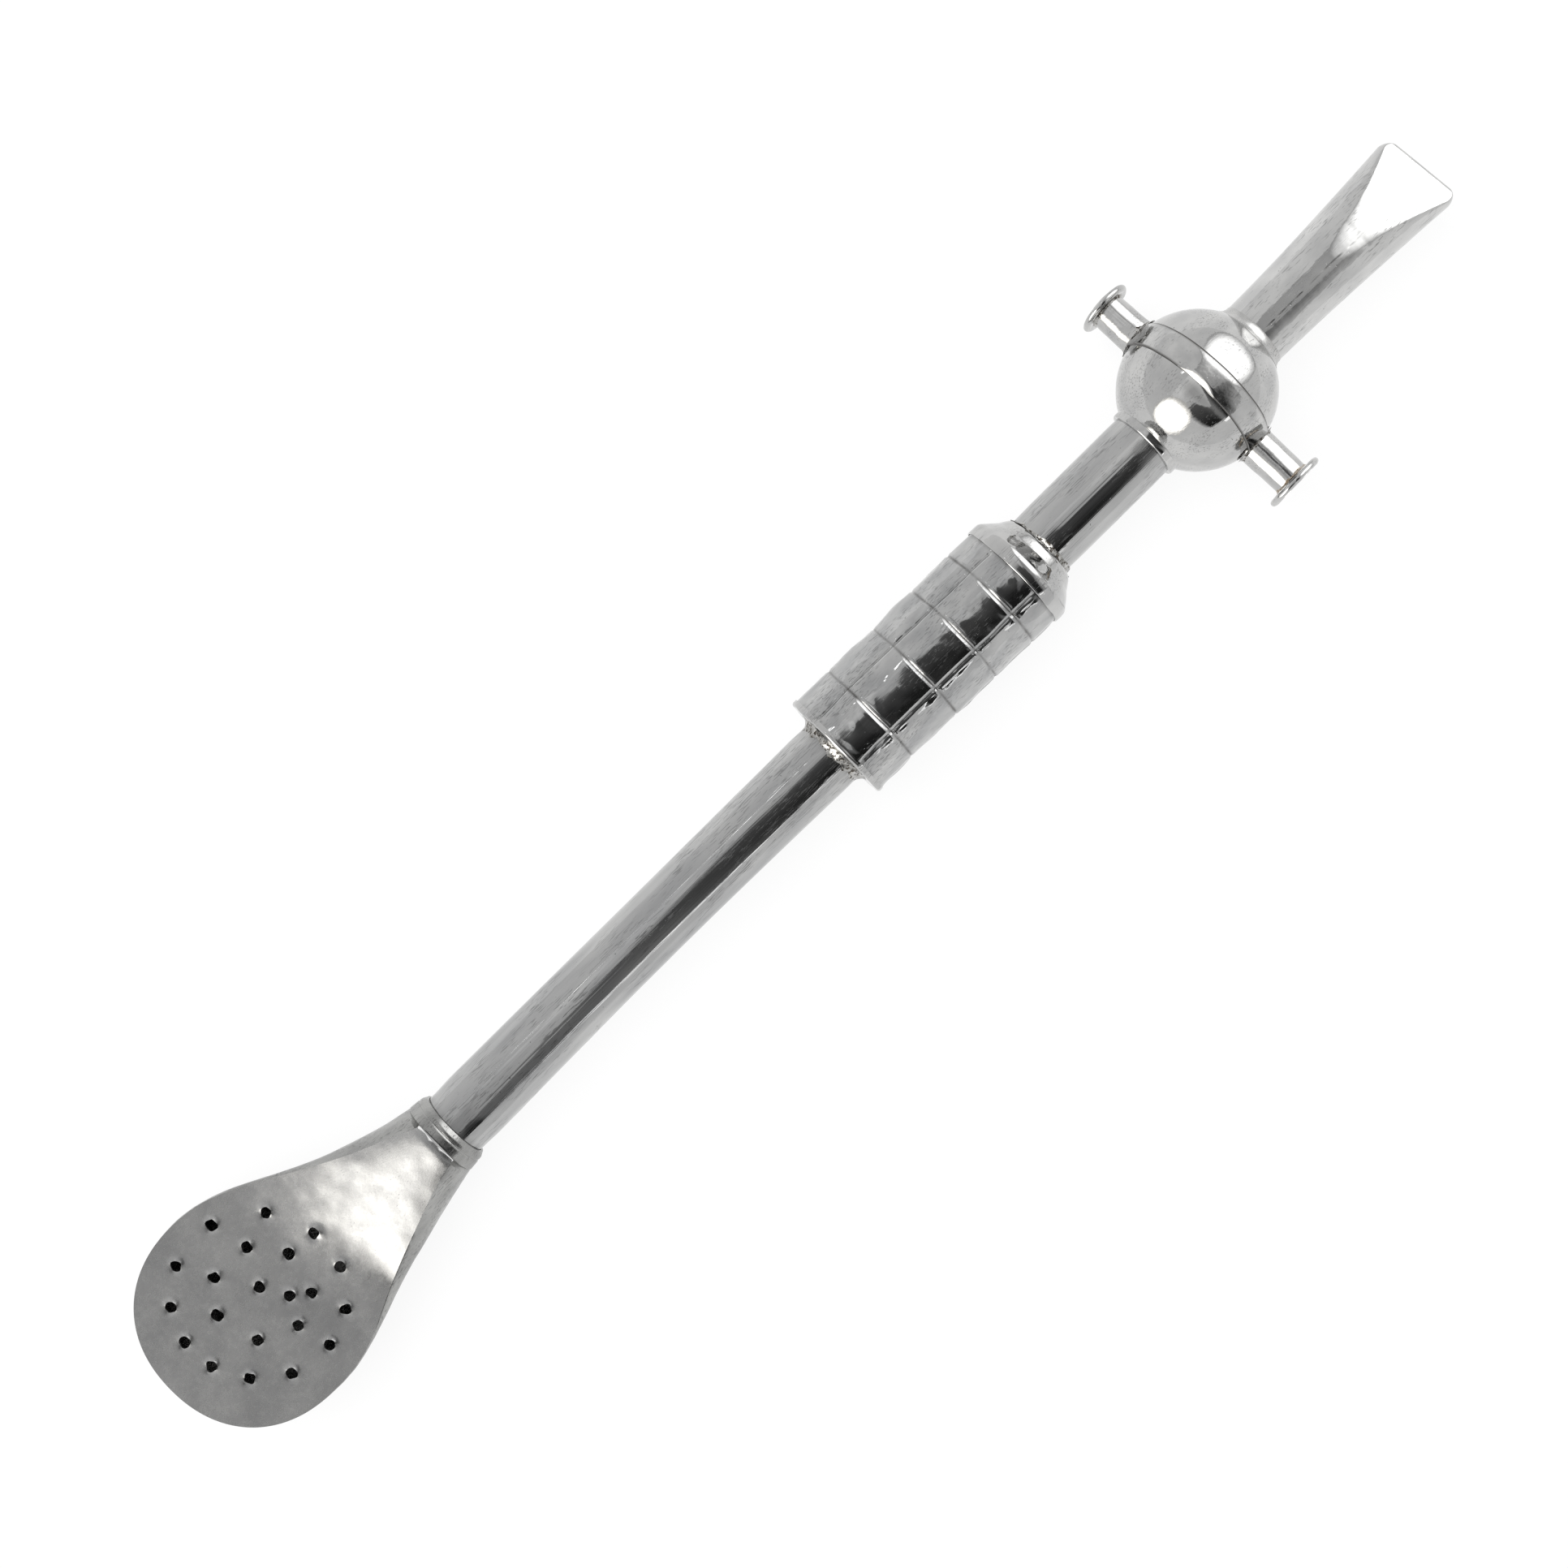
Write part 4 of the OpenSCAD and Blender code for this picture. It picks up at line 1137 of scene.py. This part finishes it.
def hole_middles():
    """Middles of all holes in (u, y)."""
    rings = [(outer_ring_r, a) for a in outer_places] + [(inner_ring_r, a) for a in inner_places]
    rings += [(inner_ring_r * share, a) for a, share in middle_places]
    middles = []
    for radius, degrees in rings:
        ahead = radius * math.cos(math.radians(degrees))
        u = bowl_nose + punch_ahead + ahead + (inner_ahead if radius < outer_ring_r else 0)
        aside = punch_aside + punch_drift * max(-ahead, 0) + radius * math.sin(math.radians(degrees))
        middles.append((u, float(lean(u)) + aside))
    return np.array(middles)


def hole_outline(middle, seed, grow=0.0):
    """A ragged round outline; grow widens it."""
    turns = even_turns(hole_sides)
    shift = Vector((seed * 3.7, seed * 1.3, 0.5))
    circle = [Vector((ragged_round * math.cos(t), ragged_round * math.sin(t), 0)) for t in turns]
    ragged = [noise.noise(place + shift) for place in circle]
    radius = hole_r * (1 + hole_ragged * np.array(ragged)) + grow
    return middle + np.stack([radius * np.cos(turns), radius * np.sin(turns)], 1)


hole_spots = hole_middles()
print("holes in the plate:", len(hole_spots))

# %% Sheet of the plate
mesh_step = 0.4


def plate_outline():
    """The plate's edge in (u, y), once round."""
    nose = bowl_nose * (1 - np.cos(np.radians(np.linspace(0, 90, 50))) ** (2 / round_power))
    us = np.concatenate([nose, np.linspace(bowl_nose, tongue_tip, 72)[1:]])
    width = half_width(us) - np.minimum(rim_inset(us), 0.8 * half_width(us))
    left = np.stack([us, lean(us) + slip(us) + width], 1)
    right = np.stack([us, lean(us) + slip(us) - width], 1)
    return np.concatenate([left, right[:0:-1]])


def inside_loop(points, loop):
    """Which points lie inside a closed outline."""
    inside = np.zeros(len(points), bool)
    for (x0, y0), (x1, y1) in zip(loop, np.roll(loop, -1, 0)):
        crosses = (y0 > points[:, 1]) != (y1 > points[:, 1])
        at = x0 + (points[:, 1] - y0) / (y1 - y0 + 1e-12) * (x1 - x0)
        inside ^= crosses & (points[:, 0] < at)
    return inside


print("points round the plate's edge:", len(plate_outline()))

# %% Height of the plate
burr_h = 0.14
burr_w = 0.22
burr_foot = 0.03
tongue_crown = 0.3
crown_aside = 0.25
tongue_tilt = 0.2
sheet_layers = ((0.06, (7, 7, 7), 111), (0.012, (2, 2, 2), 112))
bend_layers = ((0.07, (5, 4, 3), 113), (0.03, (1.9, 1.4, 1), 114))


def plate_height(flat):
    """Height of the plate's upper face over the axis, with its unevenness and the burrs of the holes."""
    u, y = flat.T
    spread = np.stack([u, y, 0 * u], -1)
    z = plate_z(u) + plate_t - tongue_drop(u)
    z = z + layered(spread, sheet_layers)
    climbing = ramp((u - bend_from) / 6)
    aside = (y - lean(u)) / np.maximum(half_width(u) - rim_inset(u), 1.0)
    z = z - tongue_crown * ramp((u - bend_from - 2) / 6) * (aside - crown_aside) ** 2
    z = z - tongue_tilt * ramp((u - bend_from - 7) / 5) * aside
    z = z + climbing * layered(spread, bend_layers)
    for middle in hole_spots:
        away = flat - middle
        distance = np.hypot(away[:, 0], away[:, 1])
        near = bell(distance - hole_r, burr_w)
        side = (away[:, 0] * 0.9 + away[:, 1] * 0.45) / np.maximum(distance, 0.1)
        z = z + near * (burr_foot + burr_h * side)
    return z


print("height of the plate at its nose:", plate_height(np.array([[1.0, 0.0]])))

# %% Mesh of the plate
rim_w = 0.25
rim_clear = 0.25
edge_clear = 0.3


def plate_flat():
    """Points and triangles of the flat plate, with the holes left out."""
    outline = plate_outline()
    holes = [hole_outline(m, i) for i, m in enumerate(hole_spots)]
    rims = [hole_outline(m, i, rim_w) for i, m in enumerate(hole_spots)]
    grid_u, grid_y = np.meshgrid(np.arange(0.2, tongue_tip, mesh_step), np.arange(-14, 15, mesh_step))
    grid_u = grid_u + 0.5 * mesh_step * (np.arange(grid_u.shape[0]) % 2)[:, None]
    field = np.stack([grid_u.ravel(), grid_y.ravel()], 1)
    border = np.min(np.hypot(*(field[:, None, :] - outline[None, ::2, :]).transpose(2, 0, 1)), axis=1)
    keep = inside_loop(field, outline) & (border > edge_clear)
    for rim in rims:
        keep &= ~inside_loop(field, rim + rim_clear * (rim - rim.mean(0)))
    loops = [outline] + holes + rims
    starts = np.cumsum([0] + [len(loop) for loop in loops])
    edges = []
    for start, loop in zip(starts, loops):
        edges += [(int(start + i), int(start + (i + 1) % len(loop))) for i in range(len(loop))]
    flat = np.concatenate(loops + [field[keep]])
    made = geometry.delaunay_2d_cdt([Vector(p) for p in flat], edges, [], 0, 1e-6)
    flat = np.array([tuple(p) for p in made[0]])
    triangles = np.array(made[2])
    centres = flat[triangles].mean(1)
    wanted = inside_loop(centres, outline)
    for hole in holes:
        wanted &= ~inside_loop(centres, hole)
    used, triangles = np.unique(triangles[wanted], return_inverse=True)
    return flat[used], triangles.reshape(-1, 3)


def plate_surface():
    """Points and faces of the plate, and the painted shade inside its holes and under it."""
    flat, triangles = plate_flat()
    top = np.column_stack([flat[:, 0] + bowl_end, flat[:, 1], axis_z + plate_height(flat)])
    under = plate_z(flat[:, 0]) - tongue_drop(flat[:, 0])
    bottom = np.column_stack([top[:, 0], top[:, 1], axis_z + under])
    count = len(top)
    faces = [tuple(t) for t in triangles] + [tuple(count + t[::-1]) for t in triangles]
    sides = {pair for t in triangles for pair in ((t[0], t[1]), (t[1], t[2]), (t[2], t[0]))}
    faces += [(b, a, count + a, count + b) for a, b in sorted(sides) if (b, a) not in sides]
    # Painted shade: the plate's underside is darkened, and the sides of its holes and its edge darken
    # downwards from the top.
    underside_painted_shade = np.zeros(2 * count)
    underside_painted_shade[count:] = np.where(flat[:, 0] < bend_to, 0.9, 0.3)
    return np.concatenate([top, bottom]), [tuple(int(i) for i in f) for f in faces], underside_painted_shade


plate_points, plate_faces, plate_painted_shade = plate_surface()
add_piece("filter_plate_sheet", plate_points, plate_faces, satin, "filter_head", "satin_plate",
          ["filter_plate"], crease=40, grime_and_shade=plate_painted_shade)

# %% [markdown]
# A band closes the neck's mouth round the stem. It is a turned ring: a plain band, a fine groove and a bead.
# The sleeve inside the neck is plain tube, so it keeps the frame's own mesh and only gets the dull finish.

# %% Neck
band_r = neck_r + 0.05
ring_outline = [
    (neck_from - 0.02, sleeve_r - 0.02), (neck_from - 0.02, band_r - 0.05), (neck_from + 0.12, band_r),
    (neck_to - 1.15, band_r - 0.1), (neck_to - 1.0, band_r - 0.22), (neck_to - 0.85, band_r - 0.15),
    (neck_to - 0.5, band_r - 0.2), (neck_to - 0.12, max(band_r - 0.42, sleeve_r + 0.04)),
    (neck_to, sleeve_r + 0.02), (neck_to, sleeve_r - 0.02),
]
ring_skin = hand_turned(along(ring_outline, 0.1), sides=200, amount=0.05, grain=(1.0, 1.6, 1.6), seed=121)
add_piece("neck_bead", *ring_skin, dull, "filter_head", "dull_metal", ["neck_ring"], crease=50)
frame["nodes"]["neck_sleeve"].data.materials.clear()
frame["nodes"]["neck_sleeve"].data.materials.append(dull)
print("neck sleeve keeps its frame mesh")

# %% [markdown]
# ## The studio
# The straw lies on white paper under soft light. Mirror metal shows only what stands round it, so the set
# is made of cards: a grey gradient overhead, which draws the dark streak along the tubes, and two light
# panels, one at each end of the straw, which give the round highlights on the ball, the bend of the plate
# and the tip. Two narrow strips along the sides draw the thin bright lines on the tubes.

# %% Camera
IMAGE_PX = 1932
FOCAL_PX = 3316
SENSOR_MM = 36.0
CAMERA_MM = (-1.39, 1.18, 308.2)
CAMERA_ROLL = 44.68
scene = bpy.context.scene
eye = bpy.data.cameras.new("eye")
eye.sensor_width = SENSOR_MM
eye.lens = FOCAL_PX / IMAGE_PX * SENSOR_MM
eye.clip_start = 0.01
camera = bpy.data.objects.new("camera", eye)
camera.location = [v * MM for v in CAMERA_MM]
camera.rotation_euler = (0, 0, math.radians(-CAMERA_ROLL))
scene.collection.objects.link(camera)
scene.camera = camera
scene.view_settings.view_transform = "Standard"
print(f"lens {eye.lens:.2f} mm")

# %% Floor and world
floor_half = 4.0
floor_seen = 0.86
floor_mirrored = 0.82
paper_matt = 0.16
sky_low = 1.06
sky_high = 0.93


def stage_mesh(name, points, faces, material, glossy_only):
    """A mesh of the set; one that is glossy only shows in the metal and nowhere else."""
    mesh = bpy.data.meshes.new(name)
    mesh.from_pydata(points, [], faces)
    mesh.materials.append(material)
    made = bpy.data.objects.new(name, mesh)
    scene.collection.objects.link(made)
    if glossy_only:
        made.visible_camera = False
        made.visible_diffuse = False
        made.visible_shadow = False
        made.visible_transmission = False
    return made


def stage_card(name, x_ends, y_ends, height, material, glossy_only=True):
    """A level rectangle of the set."""
    (x0, x1), (y0, y1) = x_ends, y_ends
    corners = [(x0, y0, height), (x1, y0, height), (x1, y1, height), (x0, y1, height)]
    return stage_mesh(name, corners, [(0, 1, 2, 3)], material, glossy_only)


def glow_material(name):
    """A material with nothing but an emission, and its tree and emission node."""
    material = bpy.data.materials.new(name)
    material.use_nodes = True
    tree = material.node_tree
    tree.nodes.clear()
    glow = tree.nodes.new("ShaderNodeEmission")
    out = tree.nodes.new("ShaderNodeOutputMaterial")
    tree.links.new(glow.outputs[0], out.inputs[0])
    return material, tree, glow, out


def paper():
    """White paper: the glow that the eye and the metal see, and some plain diffuse that takes shadows."""
    material, tree, glow, out = glow_material("white_paper")
    rays = put(tree, "ShaderNodeLightPath").outputs
    seen = sums(tree, "MULTIPLY", rays["Is Camera Ray"], floor_seen)
    mirrored = sums(tree, "MAXIMUM", rays["Is Glossy Ray"], rays["Is Transmission Ray"])
    mirrored = sums(tree, "MULTIPLY", mirrored, floor_mirrored)
    tree.links.new(sums(tree, "MAXIMUM", seen, mirrored), glow.inputs["Strength"])
    matt = put(tree, "ShaderNodeBsdfDiffuse", Color=(paper_matt, paper_matt, paper_matt, 1))
    both = put(tree, "ShaderNodeAddShader", (glow.outputs[0], matt.outputs[0]))
    tree.links.new(both.outputs[0], out.inputs[0])
    return material


floor_ends = (-floor_half, floor_half)
stage_card("floor", floor_ends, floor_ends, 0, paper(), glossy_only=False)
world = bpy.data.worlds.new("studio")
world.use_nodes = True
scene.world = world
sky = world.node_tree
sky.nodes.clear()
direction = put(sky, "ShaderNodeTexCoord").outputs["Generated"]
upward = put(sky, "ShaderNodeSeparateXYZ", (direction,)).outputs[2]
sky_glow = put(sky, "ShaderNodeBackground", Strength=between(sky, upward, 0.0, 0.9, sky_low, sky_high))
sky.links.new(sky_glow.outputs[0], put(sky, "ShaderNodeOutputWorld").inputs[0])
print("floor and sky in place")

# %% [markdown]
# The grey card is painted by angle: seen from the straw it is nearly black low on the right side and clears
# towards the left. Towards the foot of the straw its dark part slides further to the right, so that the
# filter plate, which looks that way, stays a lighter grey than the barrel's streak.

# %% Grey card
card_h = 2.0
card_x = (-2.2, 0.95)
card_turns = (-58, 24.2)
card_tones = ((-58, 0.02), (-45, 0.02), (-29, 0.06), (-14, 0.09), (-4, 0.12), (-0.5, 0.22), (2.5, 0.6),
              (12, 0.78), (24.2, 0.92))
# Each of these carries a place on the card, from the first number to the second, to a value between the
# third and the fourth.
foot_slide = (-0.08, -0.4, -0.28, 1.2)
ball_slide = (0.22, 0.3, 0.0, 0.28)
far_slide = (-0.55, -0.95, 0.0, 0.85)
foot_cap = (-0.1, -0.45, 0.8, 0.5)
left_cap = (0.2, 0.85, 0.0, 0.3)
far_cap = (-0.7, -1.15, 0.0, 0.3)
haze_in = (-0.05, -0.3, 0.0, 0.24)
haze_out = (-0.45, -0.7, 0.0, 0.24)
foot_end = (-1.65, card_x[0])
foot_end_tone = 0.9
tip_end = (0.5, card_x[1])
tip_end_tone = 0.6


def on_card(turn):
    """Place on the card of a direction, in degrees from straight up."""
    return card_h * math.tan(math.radians(turn))


def grey_ramp(tree, value, stops):
    """A colour ramp of greys; the first stop is at 0 and the last at 1."""
    made = put(tree, "ShaderNodeValToRGB", (value,))
    elements = made.color_ramp.elements
    for end, (_, tone) in zip(elements, (stops[0], stops[-1])):
        end.color = (tone, tone, tone, 1)
    for position, tone in stops[1:-1]:
        elements.new(position).color = (tone, tone, tone, 1)
    return made.outputs[0]


def mixed(tree, share, first, second):
    """One value mixed into another by a share."""
    return sums(tree, "ADD", sums(tree, "MULTIPLY", first, sums(tree, "SUBTRACT", 1.0, share)),
                sums(tree, "MULTIPLY", second, share))


def overhead_card():
    """The grey card over the straw."""
    material, tree, glow, _ = glow_material("overhead_grey")
    place = put(tree, "ShaderNodeTexCoord").outputs["Object"]
    x, y, _ = put(tree, "ShaderNodeSeparateXYZ", (place,)).outputs
    y_low, y_high = (on_card(turn) for turn in card_turns)
    slide = sums(tree, "ADD", between(tree, x, *foot_slide), between(tree, x, *ball_slide))
    slide = sums(tree, "SUBTRACT", slide, between(tree, x, *far_slide))
    stops = [((on_card(turn) - y_low) / (y_high - y_low), tone) for turn, tone in card_tones]
    tone = grey_ramp(tree, between(tree, sums(tree, "ADD", y, slide), y_low, y_high), stops)
    cap = sums(tree, "ADD", between(tree, x, *foot_cap), between(tree, y, *left_cap))
    cap = sums(tree, "ADD", cap, between(tree, x, *far_cap))
    tone = sums(tree, "MINIMUM", tone, cap)
    haze = sums(tree, "SUBTRACT", between(tree, x, *haze_in), between(tree, x, *haze_out))
    tone = sums(tree, "MAXIMUM", tone, haze)
    tone = mixed(tree, between(tree, x, *foot_end), tone, foot_end_tone)
    tone = mixed(tree, between(tree, x, *tip_end), tone, tip_end_tone)
    tree.links.new(tone, glow.inputs["Strength"])
    return stage_card("overhead_card", card_x, (y_low, y_high), card_h, material)


overhead_card()
print("grey card from", card_turns[0], "to", card_turns[1], "degrees")

# %% Light panels
panel_r = 1.9
panel_rings = 12
panel_sides = 48
panel_rim = 0.4
panel_low = 0.6
panel_lift = 0.01


def light_panel(name, turns, side, fade, strength, tint, corner, rim_light):
    """A glowing sheet with round corners, bent round the straw's middle between two angles from straight up
    towards +X. Its light rises from low to full between the two angles of the fade, and dims at its rim."""
    material, tree, glow, _ = glow_material(name + "_glow")
    place = put(tree, "ShaderNodeTexCoord").outputs["Object"]
    x = put(tree, "ShaderNodeSeparateXYZ", (place,)).outputs[0]
    start, stop = (panel_r * math.sin(math.radians(turn)) for turn in fade)
    inner = put(tree, "ShaderNodeAttribute", settings={"attribute_name": "inner"}).outputs["Fac"]
    light = mixed(tree, inner, rim_light, between(tree, x, start, stop, panel_low, strength))
    tree.links.new(light, glow.inputs["Strength"])
    glow.inputs["Color"].default_value = (*tint, 1)
    points = []
    dimmed = []
    for size in np.linspace(0, 1, panel_rings + 1)[1:]:
        for t in even_turns(panel_sides):
            across = size * math.copysign(abs(math.cos(t)) ** corner, math.cos(t))
            aside = size * math.copysign(abs(math.sin(t)) ** corner, math.sin(t))
            turn = math.radians(mix(turns[0], turns[1], 0.5 + across / 2))
            points.append((panel_r * math.sin(turn), mix(side[0], side[1], 0.5 + aside / 2),
                           panel_r * math.cos(turn) + panel_lift))
            dimmed.append(min(1.0, (1 - size) / panel_rim))
    faces = [tuple(range(panel_sides))]
    for ring in range(panel_rings - 1):
        for i in range(panel_sides):
            j = (i + 1) % panel_sides
            low = ring * panel_sides
            high = low + panel_sides
            faces.append((low + i, low + j, high + j, high + i))
    panel = stage_mesh(name, points, faces, material, True)
    panel.data.attributes.new("inner", "FLOAT", "POINT").data.foreach_set("value", dimmed)
    return panel


light_panel("foot_panel", turns=(-92, -33), side=(-0.86, 0.86), fade=(-33, -47), strength=4.4,
            tint=(1.0, 0.98, 0.94), corner=0.95, rim_light=0.7)
light_panel("tip_panel", turns=(13, 92), side=(-1.25, 1.25), fade=(19, 32), strength=2.6,
            tint=(1.0, 1.0, 1.0), corner=0.8, rim_light=0.42)
print("light panels in place")

# %% Strips and lamp


def strip_light(name, ends, turns, strength):
    """A narrow glowing strip overhead, between two ends along the straw and two angles from straight up."""
    material, _, glow, _ = glow_material(name + "_glow")
    glow.inputs["Strength"].default_value = strength
    return stage_card(name, ends, [on_card(turn) for turn in turns], card_h, material)


strip_light("left_strip", ends=(-0.31, 0.0), turns=(32.0, 34.5), strength=3.2)
strip_light("right_strip", ends=(-0.5, 0.5), turns=(-62.0, -58.6), strength=1.8)
lamp = bpy.data.lights.new("soft_lamp", "AREA")
lamp.energy = 12.0
lamp.size = 1.2
soft_lamp = bpy.data.objects.new("soft_lamp", lamp)
soft_lamp.location = (-0.4, 0.5, 1.6)
soft_lamp.rotation_euler = (math.radians(-17), math.radians(-14), 0)
soft_lamp.visible_glossy = False
scene.collection.objects.link(soft_lamp)
print("strips and lamp in place")
